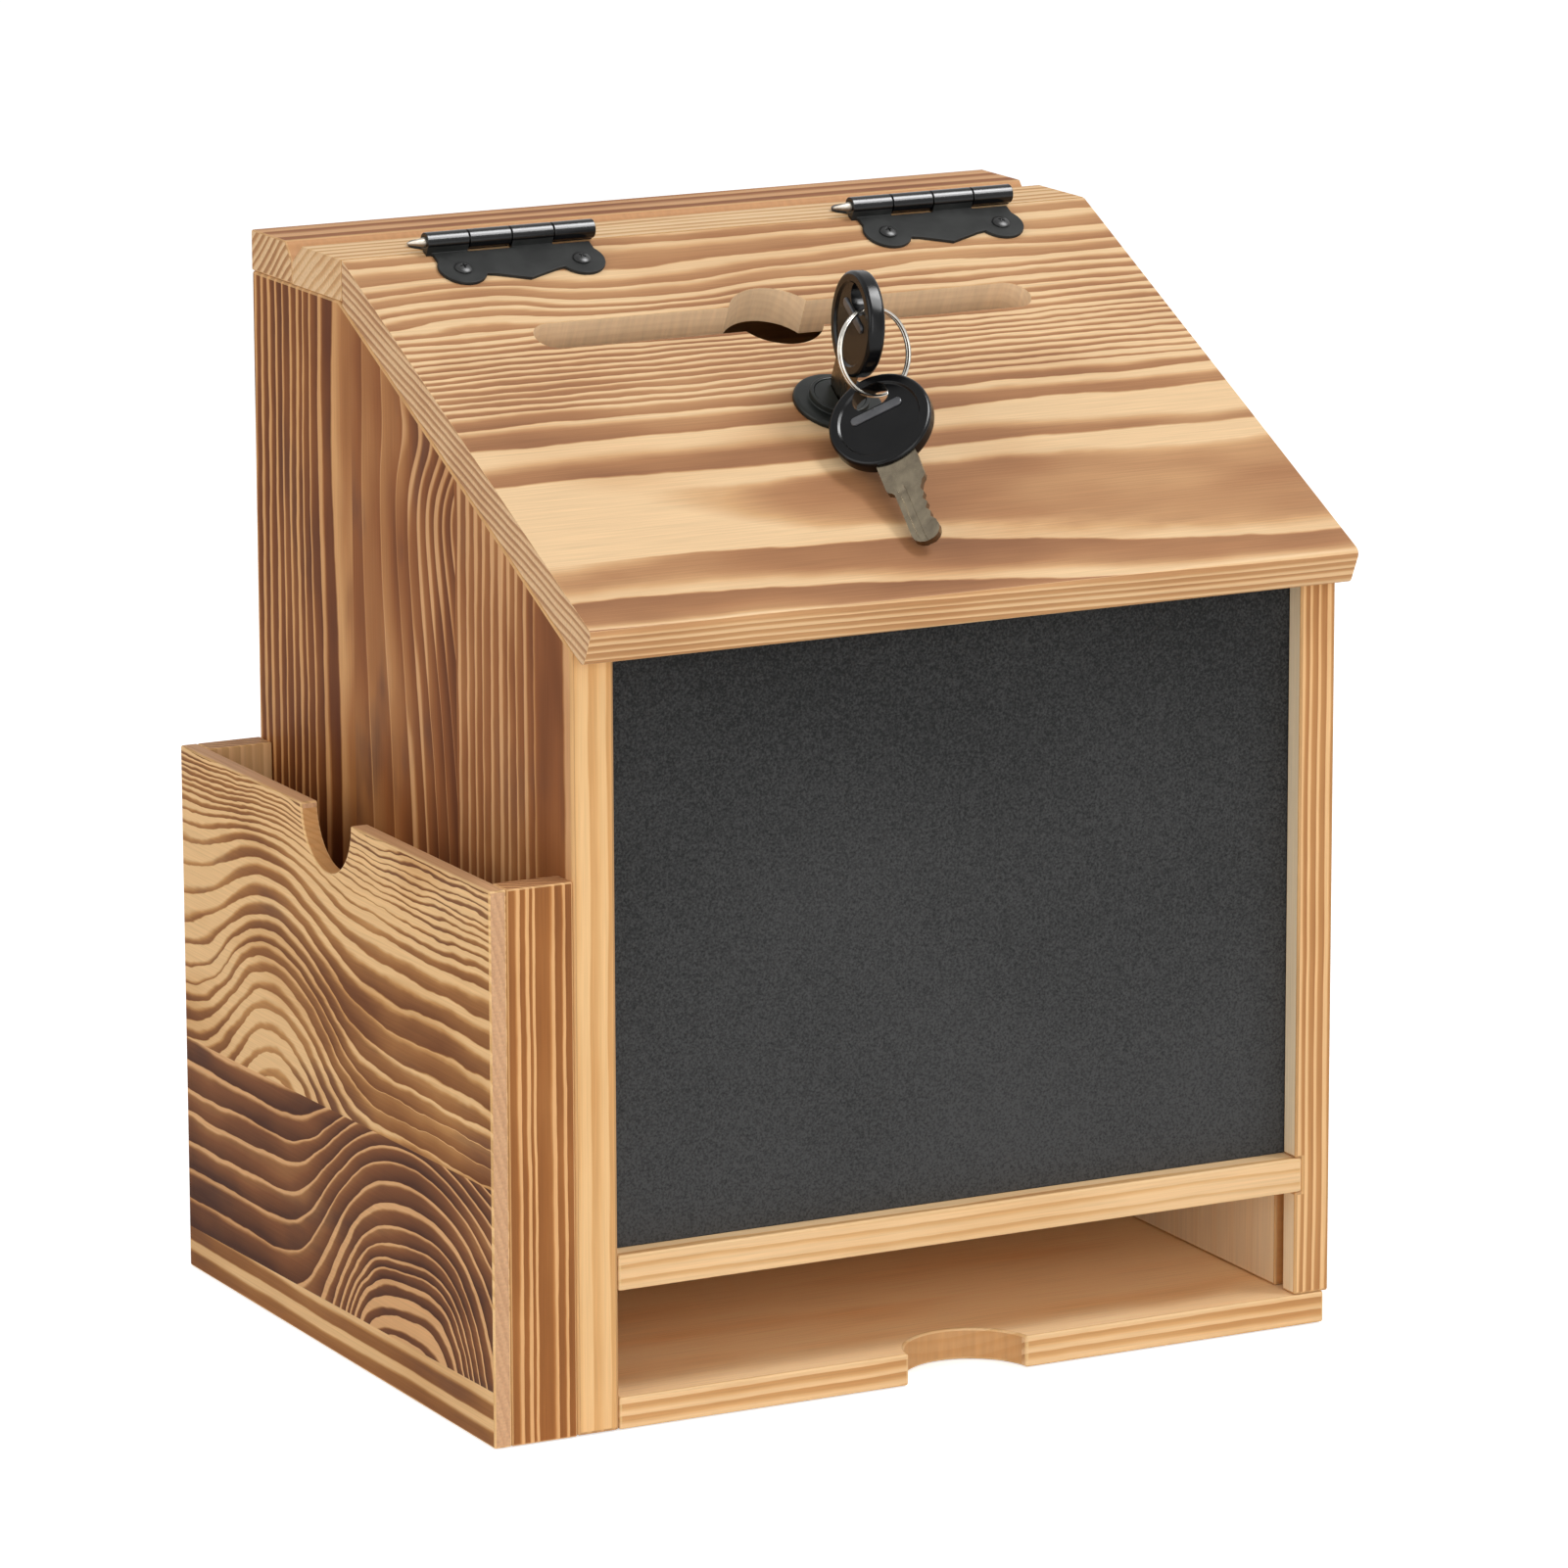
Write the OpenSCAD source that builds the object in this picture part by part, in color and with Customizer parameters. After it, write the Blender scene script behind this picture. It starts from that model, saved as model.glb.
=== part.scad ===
// Wooden suggestion box: sloping hinged lid with card slot and cam lock,
// chalkboard front, open tray below and a card pocket on the left side.
// The origin is the bottom centre of the whole, +X to the right, +Y to the back.

/* [Carcass] */
// Width over both side panels, and of the lid
box_w = 200; // [180:1:240]
// Depth of the side panels
box_d = 173.5; // [165:0.5:200]
// Height to the top of the fixed boards
box_h = 255.4; // [240:0.2:300]
// Thickness of the left side panel, which stands on the ground
left_t = 10.8; // [9:0.1:13]
// Thickness of the right side panel, which stands on the base board
right_t = 9.4; // [8.5:0.1:13]
// Thickness of the back panel
back_t = 8; // [6:0.5:12]
// Thickness of the base board
base_t = 7.7; // [6:0.1:10]
// How far the base board's right end stays inside the right panel's face
base_inset = 1.2; // [0:0.1:2]
// Width of the half-round finger notch in the base board
base_notch_w = 31.4; // [24:0.2:40]
// Depth of the finger notch in the base board
base_notch_depth = 14; // [8:0.5:14]
// Middle of the base notch, measured from the left panel's outer face
base_notch_x = 101.8; // [90:0.2:110]

/* [Shelf and chalkboard] */
// Height of the shelf's underside over the ground
shelf_z = 33.1; // [25:0.1:45]
// Thickness of the shelf
shelf_t = 8.4; // [7:0.1:11]
// How deep the shelf is housed in the right panel
shelf_housing = 1.8; // [0.5:0.1:3]
// How far the chalkboard lies behind the front edges
chalk_recess = 6; // [4:0.1:8]
// Thickness of the chalkboard
chalk_t = 3; // [2:0.1:4]
// Depth of the grooves that hold the chalkboard
groove_depth = 3.5; // [2:0.1:5]

/* [Lid and fixed top] */
// Slope of the lid in degrees
lid_slope = 26.4; // [22:0.1:30]
// How far the lid's front corner stands out before the panels
lid_overhang = 10.1; // [4:0.1:12]
// Thickness of the lid board
lid_t = 9.6; // [8:0.1:12]
// Rounding of the lid's front corners
lid_round = 1.6; // [0.6:0.1:3]
// Thickness of the fixed top boards
top_t = 9.9; // [8:0.1:12]
// Depth of the front top board, from the crest to the V-groove
front_board_d = 28.3; // [24:0.1:40]
// Depth of the rear top board, measured from the back
rear_board_d = 23.8; // [18:0.1:28]
// Width of the V-groove between the top boards
vee_w = 10; // [4:0.2:11]
// Depth of the V-groove between the top boards
vee_depth = 4.7; // [2:0.1:6]

/* [Card slot] */
// Length of the card slot over its round ends
slot_len = 132; // [110:1:140]
// Width of the card slot
slot_w = 10; // [8:0.1:12]
// Distance of the slot's middle line down the slope from the crest
slot_down = 36.8; // [32:0.2:42]
// Middle of the slot, measured from the left panel's outer face
slot_x = 100.5; // [96:0.1:104]
// Diameter of the thumb circle in the slot
thumb_d = 23; // [18:0.5:28]
// Middle of the thumb circle, measured from the left panel's outer face
thumb_x = 98; // [92:0.1:106]

/* [Card pocket] */
// Width of the pocket, outside, measured from the left panel
pocket_w = 21; // [18:0.5:40]
// Height of the pocket
pocket_h = 130.7; // [110:0.1:160]
// Thickness of the pocket's outer panel
pocket_skin_t = 4.4; // [3.5:0.1:8]
// Thickness of the pocket's front and back strips
pocket_strip_t = 7.5; // [5:0.1:10]
// Thickness of the pocket's bottom
pocket_floor_t = 6; // [4:0.1:10]
// Width of the pocket's finger notch
pocket_notch_w = 28; // [20:0.5:34]
// Middle of that notch behind the front edges
pocket_notch_y = 88.7; // [80:0.1:95]

/* [Hinges] */
// Distance of each hinge's middle from the side panel's outer face
hinge_inset = 43.3; // [36:0.1:60]
// Length of the hinge knuckle
hinge_len = 44; // [36:1:50]
// Outer radius of the hinge knuckle
knuckle_r = 2.3; // [2:0.1:3]
// Radius of the hinge pin
pin_r = 1.2; // [1:0.05:1.3]
// Thickness of the hinge leaves
leaf_t = 0.9; // [0.7:0.1:1.1]
// Reach of a leaf from the crest
leaf_reach = 15; // [14:0.5:18]
// Spacing of a leaf's two screws
screw_span = 31; // [28:0.5:33]
// Diameter of the hinge screws' heads
screw_head_d = 4.8; // [4:0.1:6]
// Length of the hinge screws under the head
screw_len = 7; // [5:0.5:7.5]

/* [Cam lock] */
// Middle of the lock, measured from the left panel's outer face
lock_x = 97; // [90:0.1:106]
// Diameter of the lock's flange
flange_d = 21.6; // [19:0.2:24]
// Diameter of the threaded barrel
barrel_d = 15.8; // [14:0.1:16]
// Length of the barrel under the flange
barrel_len = 18; // [16:0.5:22]
// Diameter of the lock plug
plug_d = 11; // [10:0.1:11.5]
// Width of the cam arm
cam_w = 12; // [9:0.5:14]
// Thickness of the cam arm
cam_t = 2; // [1.5:0.1:3]
// Gap between the chalkboard and the batten behind it, which the cam hooks under
rail_gap = 6.3; // [4:0.1:12]
// Turn of the lock in its hole, clockwise from above, in degrees
lock_twist = 7; // [0:1:15]

/* [Keys and ring] */
// Diameter of the key heads
head_d = 25; // [22:0.2:26]
// Thickness of the key heads
head_t = 4.2; // [3.2:0.1:5]
// Length of the slot in a key head
eye_len = 9; // [8:0.1:10]
// Width of the slot in a key head
eye_w = 6; // [5:0.1:6.4]
// Distance of that slot's middle from the head's middle
eye_out = 7; // [6.4:0.1:7.6]
// Length of the wide shoulder of a key between head and cut blade
shoulder_len = 7.6; // [6:0.1:10]
// Width of the shoulder
shoulder_w = 10; // [9:0.1:10.6]
// Length of the cut blade
blade_len = 16.6; // [14:0.1:18]
// Width of the cut blade
blade_w = 7; // [6:0.1:8]
// Thickness of the key blades
blade_t = 2; // [1.6:0.1:2.4]
// Mean diameter of the split ring
ring_d = 20.4; // [20:0.2:24]
// Diameter of the ring's wire
wire_d = 1.1; // [0.9:0.05:1.2]

/* [Hidden] */
$fn = 48;

// Overrun of every cut
over = 1;
// Gap between moving parts and their seats
rest_gap = 0.3;
// Gap between the lid and the fixed top at the crest
crest_gap = 0.5;
// Play of the chalkboard in its grooves
chalk_play = 0.2;
// Radial running clearance of pins and plugs
run_gap = 0.06;
// Gap between a screw and its hole
screw_gap = 0.05;
// Radius of small eased corners
ease = 0.8;
// Number of flats in a drawn rounding
round_steps = 5;

slope_c = cos(lid_slope);
slope_s = sin(lid_slope);
slope_tan = tan(lid_slope);
right_face = box_w - right_t;
inner_w = right_face - left_t;
back_face = box_d - back_t;
panel_top = box_h - top_t;
crest_y = box_d - rear_board_d - front_board_d;
x_mid = (box_w - pocket_w) / 2;
y_mid = (box_d - lid_overhang) / 2;

// Heights of the lid's underside and of the panels' sloping edges over a place y
function lid_under_at(y) = box_h - (crest_y - y) * slope_tan - lid_t / slope_c;
function slope_edge_at(y) = lid_under_at(y) - rest_gap / slope_c;

// Where the panels' sloping edges start at their flat tops
panel_break_y = (panel_top - slope_edge_at(0)) / slope_tan;

// Length of the lid's top down the slope, so that its rounded corner reaches the overhang
lid_len = (crest_y + lid_overhang + lid_round * (slope_c + slope_s - 1)) / slope_c;
slot_half = (slot_len - slot_w) / 2;

// Shares of the V-groove's width that each top board gives
vee_front_share = 0.6;
vee_rear_share = 0.4;

// Hinge axis over the crest, clear of both planes by the knuckle and a gap
axis_lift = knuckle_r + rest_gap;
axis_y = crest_y - axis_lift * tan(lid_slope / 2);
axis_z = box_h + axis_lift;
segment_gap = 0.3;
segment_len = (hinge_len - 3 * segment_gap) / 4;
segment_pitch = segment_len + segment_gap;
pin_point = 4.5;
pin_point_share = 0.25;
leaf_notch = 2.6;
leaf_waist_share = 0.93;
lobe_r = 6;
screw_down = 9.4;
vee_half = 8;
valley_down = 12.2;
shank_r = 1.2;
screw_head_h = 1.1;
screw_crown_share = 0.7;

// Cam lock, measured along its axis from the lid's top plane
flange_t = 1.8;
flange_round = 1;
collar_d = 14.4;
collar_t = 1.6;
plug_head_d = 12.4;
plug_head_t = 1.5;
face_sink = 0.2;
nut_t = 3;
nut_across = 22;
flats_share = 0.86;
cam_gap = 0.2;
cam_cover = 4;
post_side = 6;
cam_screw_r = 1.7;
cam_screw_len = 6;
cam_screw_head_r = 4;
cam_screw_head_t = 2;
plug_face = flange_t + collar_t - face_sink;
cam_top = -barrel_len - cam_gap;

// Batten under the lid, behind the chalkboard, with its edges' distances down the slope
rail_depth = 16;
rail_t = -cam_top - lid_t - 2 * rest_gap;
rail_front_y = chalk_recess + chalk_t + rail_gap;
rail_far = (crest_y - rail_front_y + (lid_t + rest_gap) * slope_s) / slope_c;
rail_near = rail_far - rail_depth;

// The lock stands between the thumb circle and the batten, and its cam reaches under the batten
lock_place_share = 0.425;
thumb_down = slot_down + thumb_d / 2;
lock_down = thumb_down + (rail_near - thumb_down) * lock_place_share;
cam_len = rail_near + cam_cover - lock_down;

// Key: the shoulder stands on the plug's face, the cut blade goes into the plug
way_gap = 0.15;
way_spare = 0.6;
way_depth = blade_len + way_spare;
tang_len = 4;
head_ease = 1;
head_rim = 2.4;
head_sink = 0.5;
bar_len = 13;
bar_w = 1.4;
bar_h = 0.35;
bar_out = 2.4;
head_mid = shoulder_len + head_d / 2;
key_groove_w = 1.6;
key_groove_depth = 0.4;
key_groove_place_share = -0.4;
tip_share = 0.45;
tip_len_share = 0.12;
cut_depth_shares = [0.16, 0.3, 0.36, 0.3, 0.18];
cut_pitch_share = 0.17;

// Ring: its wire crosses the key's eye near the eye's lower end and hangs from it
wire_gap = 0.4;
eye_rest = eye_w / 2 - wire_d - wire_gap;
ring_in_eye = eye_len / 2 - 2 * wire_d - rest_gap;
ring_turn = 21;
wire_pitch_share = 0.92;
wire_pitch = wire_d * wire_pitch_share;
ring_hang = 36;
ring_cross = 21;

// Spare key: hangs on the ring's lower left and lies with its tip over the lid
spare_heading = -4;
spare_roll = 37;
spare_eye = eye_out + eye_rest;
spare_reach = spare_eye + head_mid + blade_len;
spare_tip_up = blade_w / 2 * sin(spare_roll) + blade_t / 2 + rest_gap;

// A vector turned about x, and one turned about z
function turn_x(p, a) = [p.x, p.y * cos(a) - p.z * sin(a), p.y * sin(a) + p.z * cos(a)];
function turn_z(p, a) = [p.x * cos(a) - p.y * sin(a), p.x * sin(a) + p.y * cos(a), p.z];

// The ring's top and its crossing with the spare key, in the lid's plane frame
key_seat = [lock_x, -lock_down, plug_face];
ring_top = key_seat + turn_z([0, -ring_in_eye, head_mid + eye_out - eye_rest], -lock_twist);
function from_ring(p) = turn_z(turn_x(p, -ring_hang), ring_turn - lock_twist);
cross_at = ring_top + from_ring([-sin(ring_cross), 0, -1 - cos(ring_cross)] * ring_d / 2);
spare_pitch = asin((cross_at.z - spare_tip_up) / spare_reach);

// Angles from a0 to a1 in equal steps, and the points at some angles about c
function steps(a0, a1) = [for (i = [0 : round_steps]) a0 + (a1 - a0) * i / round_steps];
function bend(c, r, angles) = [for (a = angles) c + r * [cos(a), sin(a)]];

// Carries a shape from the corner frame of the carcass to the part's own frame
module set_down() {
    translate([-x_mid, -y_mid, 0]) children();
}

// Plane of the lid's top: x from the left face, y up the slope from the crest
module on_lid() {
    translate([0, crest_y, box_h]) rotate([lid_slope, 0, 0]) children();
}

// A profile drawn in y and z, drawn out along x from x0 over a length
module along_x(x0, length) {
    translate([x0, 0, 0]) rotate([90, 0, 90]) linear_extrude(length) children();
}

// The side panels' outline: upright back, flat top, slope under the lid
module side_outline(foot) {
    polygon([
        [0, foot], [box_d, foot], [box_d, panel_top],
        [panel_break_y, panel_top], [0, slope_edge_at(0)]
    ]);
}

// The groove for the chalkboard, cut into an inner face
module chalk_groove(x0, foot) {
    translate([x0, chalk_recess - chalk_play, foot])
        cube([groove_depth + over, chalk_t + 2 * chalk_play, box_h]);
}

module left_side_panel() {
    color("#c99255") set_down() difference() {
        along_x(0, left_t) side_outline(0);
        chalk_groove(left_t - groove_depth, base_t);
    }
}

module right_side_panel() {
    color("#c08748") set_down() difference() {
        along_x(right_face, right_t) side_outline(base_t);
        chalk_groove(right_face - over, base_t);
        translate([right_face - over, -over, shelf_z])
            cube([shelf_housing + over, back_face + over, shelf_t]);
    }
}

module back_panel() {
    color("#b98146") set_down()
        translate([left_t, back_face, base_t])
            cube([inner_w, back_t, panel_top - base_t]);
}

module base_board() {
    half = base_notch_w / 2;
    notch_r = (half * half / base_notch_depth + base_notch_depth) / 2;
    color("#c58e52") set_down() difference() {
        translate([left_t, 0, 0]) cube([box_w - left_t - base_inset, box_d, base_t]);
        translate([base_notch_x, base_notch_depth - notch_r, -over])
            cylinder(r = notch_r, h = base_t + 2 * over);
    }
}

module divider_shelf() {
    color("#e3bd83") set_down()
        translate([left_t, 0, shelf_z])
            cube([inner_w + shelf_housing, back_face, shelf_t]);
}

module chalkboard_panel() {
    in_groove = groove_depth - chalk_play;
    board_h = slope_edge_at(chalk_recess) - shelf_z - shelf_t;
    color("#343537") set_down()
        translate([left_t - in_groove, chalk_recess, shelf_z + shelf_t])
            cube([inner_w + 2 * in_groove, chalk_t, board_h]);
}

module lock_rail() {
    color("#d9ad70") set_down() on_lid()
        translate([left_t, -rail_far, cam_top + rest_gap])
            cube([inner_w, rail_depth, rail_t]);
}

module top_front_board() {
    front = crest_y + crest_gap / 2;
    rear = box_d - rear_board_d;
    color("#e4bd86") set_down() difference() {
        along_x(0, box_w) polygon([
            [front, panel_top], [rear, panel_top],
            [rear, box_h - vee_depth], [rear - vee_w * vee_front_share, box_h], [front, box_h]
        ]);
        hinge_screw_holes(false);
    }
}

module top_rear_board() {
    front = box_d - rear_board_d;
    color("#a8744a") set_down()
        along_x(0, box_w) polygon(concat(
            [[front, panel_top], [box_d, panel_top]],
            bend([box_d - ease, box_h - ease], ease, steps(0, 90)),
            [[front + vee_w * vee_rear_share, box_h], [front, box_h - vee_depth]]
        ));
}

module pocket_outer_panel() {
    notch_r = pocket_notch_w / 2;
    color("#d29f60") set_down() difference() {
        translate([-pocket_w, 0, 0]) cube([pocket_skin_t, box_d, pocket_h]);
        translate([-pocket_w - over, pocket_notch_y, pocket_h])
            rotate([0, 90, 0]) cylinder(r = notch_r, h = pocket_skin_t + 2 * over);
    }
}

// An upright strip of the pocket with its front face at y0
module pocket_strip(y0) {
    translate([pocket_skin_t - pocket_w, y0, 0])
        cube([pocket_w - pocket_skin_t, pocket_strip_t, pocket_h]);
}

module pocket_front_strip() {
    color("#b57a3f") set_down() pocket_strip(0);
}

module pocket_back_strip() {
    color("#a56c36") set_down() pocket_strip(box_d - pocket_strip_t);
}

module pocket_floor() {
    color("#c58e52") set_down()
        translate([pocket_skin_t - pocket_w, pocket_strip_t, 0])
            cube([pocket_w - pocket_skin_t, box_d - 2 * pocket_strip_t, pocket_floor_t]);
}

// The lid's section: upright rear face at the crest, rounded front corners
module lid_section() {
    rear = -crest_gap / 2;
    corner = lid_round - lid_len;
    reach_angle = 180 - lid_slope;
    polygon(concat(
        [[rear / slope_c, 0]],
        bend([corner, -lid_round], lid_round, [90, (90 + reach_angle) / 2, reach_angle, 180]),
        bend([corner, lid_round - lid_t], lid_round, steps(180, 270)),
        [[(rear - lid_t * slope_s) / slope_c, -lid_t]]
    ));
}

// The card slot with its round ends and the thumb circle, cut square to the lid
module card_slot() {
    cut_h = lid_t + 2 * over;
    translate([0, -slot_down, -lid_t - over]) {
        for (side = [-1, 1])
            translate([slot_x + side * slot_half, 0, 0]) cylinder(d = slot_w, h = cut_h);
        translate([slot_x - slot_half, -slot_w / 2, 0]) cube([2 * slot_half, slot_w, cut_h]);
        translate([thumb_x, 0, 0]) cylinder(d = thumb_d, h = cut_h);
    }
}

module lid_board() {
    color("#dcae72") set_down() difference() {
        on_lid() difference() {
            along_x(0, box_w) lid_section();
            card_slot();
            translate([lock_x, -lock_down, -lid_t - over])
                cylinder(d = barrel_d + 2 * run_gap, h = lid_t + 2 * over);
        }
        hinge_screw_holes(true);
    }
}

// A leaf's own frame: x from the hinge's middle, y towards the axis, z out of
// the board. The leaf lies on the lid, or mirrored on the fixed top behind.
module at_leaf(side, on_the_lid) {
    middle = side < 0 ? hinge_inset : box_w - hinge_inset;
    translate([middle, axis_y, axis_z])
        rotate([on_the_lid ? lid_slope : 0, 0, 0])
            mirror([0, on_the_lid ? 0 : 1, 0])
                translate([0, 0, -axis_lift]) children();
}

module hinge_screw_holes(on_the_lid) {
    for (side = [-1, 1], end = [-1, 1])
        at_leaf(side, on_the_lid)
            translate([end * screw_span / 2, -screw_down, -screw_len - screw_gap])
                cylinder(r = shank_r + screw_gap, h = screw_len + screw_gap + over);
}

// Outline of a leaf: straight at the knuckle, two round lobes, a point between
module leaf_outline() {
    half = hinge_len / 2;
    waist = half * leaf_waist_share;
    difference() {
        union() {
            for (end = [-1, 1])
                translate([end * screw_span / 2, lobe_r - leaf_reach]) circle(r = lobe_r);
            polygon([
                [-half, 0], [half, 0], [half, -leaf_notch / 2], [waist, -leaf_notch],
                [waist, -screw_down], [vee_half, -valley_down], [0, -leaf_reach],
                [-vee_half, -valley_down], [-waist, -screw_down],
                [-waist, -leaf_notch], [-half, -leaf_notch / 2]
            ]);
        }
        for (end = [-1, 1])
            translate([end * screw_span / 2, -screw_down]) circle(r = shank_r + screw_gap);
    }
}

// Section of a knuckle: the tube, and the leaf's root rolled up into it
module knuckle_section() {
    difference() {
        union() {
            translate([0, axis_lift]) circle(r = knuckle_r);
            polygon([[-knuckle_r, 0], [0, 0], [0, axis_lift], [-knuckle_r, axis_lift]]);
        }
        translate([0, axis_lift]) circle(r = pin_r + run_gap);
    }
}

// A leaf with its two knuckles; the other leaf's knuckles run in its notches
module hinge_leaf(side, on_the_lid) {
    own = on_the_lid ? 0 : 1;
    start = -hinge_len / 2;
    notch_w = segment_len + 2 * segment_gap;
    color("#1d1d1f") set_down() at_leaf(side, on_the_lid) {
        difference() {
            linear_extrude(leaf_t) leaf_outline();
            for (i = [1 - own, 3 - own])
                translate([start + i * segment_pitch - segment_gap, -leaf_notch, -over])
                    cube([notch_w, leaf_notch + over, leaf_t + 2 * over]);
        }
        for (i = [own, own + 2])
            along_x(start + i * segment_pitch, segment_len) knuckle_section();
    }
}

module hinge_pin(side) {
    middle = side < 0 ? hinge_inset : box_w - hinge_inset;
    color("#3a3a3c") set_down()
        translate([middle - hinge_len / 2, axis_y, axis_z]) rotate([0, 90, 0]) {
            cylinder(r = pin_r, h = hinge_len);
            translate([0, 0, -pin_point])
                cylinder(r1 = pin_r * pin_point_share, r2 = pin_r, h = pin_point);
        }
}

module leaf_screws(on_the_lid) {
    color("#2a2a2c") set_down()
        for (side = [-1, 1], end = [-1, 1])
            at_leaf(side, on_the_lid) translate([end * screw_span / 2, -screw_down, 0]) {
                translate([0, 0, -screw_len]) cylinder(r = shank_r, h = screw_len + leaf_t);
                translate([0, 0, leaf_t])
                    cylinder(d1 = screw_head_d, d2 = screw_head_d * screw_crown_share, h = screw_head_h);
            }
}

left_end = -1;
right_end = 1;
module left_hinge_fixed_leaf() { hinge_leaf(left_end, false); }
module left_hinge_lid_leaf() { hinge_leaf(left_end, true); }
module left_hinge_pin() { hinge_pin(left_end); }
module right_hinge_fixed_leaf() { hinge_leaf(right_end, false); }
module right_hinge_lid_leaf() { hinge_leaf(right_end, true); }
module right_hinge_pin() { hinge_pin(right_end); }
module fixed_leaf_screws() { leaf_screws(false); }
module lid_leaf_screws() { leaf_screws(true); }

// The lock's axis, with z out of the lid; the twisted frame also turns the key way
module at_lock(twist) {
    set_down() on_lid() translate([lock_x, -lock_down, 0]) rotate([0, 0, -twist]) children();
}

module lock_housing() {
    color("#202123") at_lock(lock_twist) difference() {
        union() {
            rotate_extrude() polygon(concat(
                [[0, 0], [flange_d / 2, 0]],
                bend([flange_d / 2 - flange_round, flange_t - flange_round], flange_round, steps(0, 90)),
                [[collar_d / 2, flange_t], [collar_d / 2, flange_t + collar_t],
                 [0, flange_t + collar_t]]
            ));
            intersection() {
                translate([0, 0, -barrel_len]) cylinder(d = barrel_d, h = barrel_len + flange_t / 2);
                translate([-barrel_d / 2 * flats_share, -barrel_d, -barrel_len - over])
                    cube([barrel_d * flats_share, 2 * barrel_d, barrel_len + flange_t + over]);
            }
        }
        translate([0, 0, -barrel_len - over])
            cylinder(d = plug_d + 2 * run_gap, h = barrel_len + flange_t + collar_t + 2 * over);
        translate([0, 0, plug_face - plug_head_t - run_gap])
            cylinder(d = plug_head_d + 2 * run_gap, h = plug_head_t + over);
    }
}

module lock_nut() {
    color("#8d8f92") at_lock(0) translate([0, 0, -lid_t - nut_t]) difference() {
        cylinder(d = nut_across, h = nut_t, $fn = 6);
        translate([0, 0, -over]) cylinder(d = barrel_d + 2 * screw_gap, h = nut_t + 2 * over);
    }
}

module lock_plug() {
    way_t = blade_t + 2 * way_gap;
    way_w = blade_w + 2 * way_gap;
    color("#17181a") difference() {
        union() {
            at_lock(0) translate([0, 0, -barrel_len])
                cylinder(d = plug_d, h = plug_face + barrel_len);
            at_lock(0) translate([0, 0, plug_face - plug_head_t])
                cylinder(d = plug_head_d, h = plug_head_t);
            at_lock(0) translate([-post_side / 2, -post_side / 2, cam_top - cam_t])
                cube([post_side, post_side, cam_t + cam_gap + over]);
        }
        at_lock(lock_twist) translate([-way_t / 2, -way_w / 2, plug_face - way_depth])
            cube([way_t, way_w, way_depth + over]);
        at_lock(0) translate([0, 0, cam_top - cam_t - over])
            cylinder(r = cam_screw_r + screw_gap, h = cam_screw_len + over);
    }
}

// The cam at rest lies across the lid, unlocked, and turns clockwise under the rail
module cam_arm() {
    hole = post_side + 2 * screw_gap;
    color("#9b9da0") at_lock(0) translate([0, 0, cam_top - cam_t]) difference() {
        linear_extrude(cam_t) {
            circle(d = cam_w);
            translate([0, -cam_w / 2]) square([cam_len - cam_w / 2, cam_w]);
            translate([cam_len - cam_w / 2, 0]) circle(d = cam_w);
        }
        translate([-hole / 2, -hole / 2, -over]) cube([hole, hole, cam_t + 2 * over]);
    }
}

module cam_screw() {
    color("#a7a9ac") at_lock(0) translate([0, 0, cam_top - cam_t]) {
        cylinder(r = cam_screw_r, h = cam_screw_len - rest_gap);
        translate([0, 0, -cam_screw_head_t]) cylinder(r = cam_screw_head_r, h = cam_screw_head_t);
    }
}

// A key stands on its shoulder: z runs from the cut blade's root up to the head
module key_plate() {
    half = blade_w / 2;
    tip_v = -blade_len * (1 - tip_len_share);
    pitch = blade_len * cut_pitch_share;
    difference() {
        translate([-blade_t / 2, 0, 0]) rotate([90, 0, 90]) linear_extrude(blade_t)
            polygon(concat(
                [[-shoulder_w / 2, shoulder_len + tang_len], [-shoulder_w / 2, 0], [-half, 0],
                 [-half, tip_v], [-half * tip_share, -blade_len], [half * tip_share, -blade_len],
                 [half, tip_v]],
                [for (i = [len(cut_depth_shares) - 1 : -1 : 0], edge = [1, 0])
                    [half - blade_w * cut_depth_shares[i] * (1 - edge), -pitch * (i + (1 + edge) / 2)]],
                [[half, 0], [shoulder_w / 2, 0], [shoulder_w / 2, shoulder_len + tang_len]]
            ));
        for (face = [-1, 1])
            translate([face * blade_t / 2, half * key_groove_place_share, -blade_len / 2 - over / 2])
                cube([2 * key_groove_depth, key_groove_w, blade_len + over], center = true);
    }
}

module key_bow() {
    half_t = head_t / 2;
    floor_t = half_t - head_sink;
    inner = head_d / 2 - head_rim;
    difference() {
        translate([0, 0, head_mid]) rotate([0, 90, 0]) difference() {
            union() {
                rotate_extrude() polygon(concat(
                    [[0, floor_t], [inner - head_sink, floor_t], [inner, half_t]],
                    bend([head_d / 2 - head_ease, half_t - head_ease], head_ease, [90, 60, 30, 0]),
                    bend([head_d / 2 - head_ease, head_ease - half_t], head_ease, [0, -30, -60, -90]),
                    [[inner, -half_t], [inner - head_sink, -floor_t], [0, -floor_t]]
                ));
                translate([-bar_out, 0, 0]) long_round(bar_len, bar_w, 2 * (floor_t + bar_h));
            }
            translate([-eye_out, 0, 0]) long_round(eye_len, eye_w, 2 * head_t);
        }
        translate([-blade_t / 2, -shoulder_w / 2, 0])
            cube([blade_t, shoulder_w, shoulder_len + tang_len]);
    }
}

// A bar with round ends, lying along y, for a key head's eye and the plain bar on its faces
module long_round(length, width, height) {
    run = length - width;
    for (end = [-1, 1])
        translate([0, end * run / 2, 0]) cylinder(d = width, h = height, center = true);
    cube([width, run, height], center = true);
}

// The key in the plug, and the spare key lying over the lid on the ring
module at_key() {
    at_lock(lock_twist) translate([0, 0, plug_face]) children();
}

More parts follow.
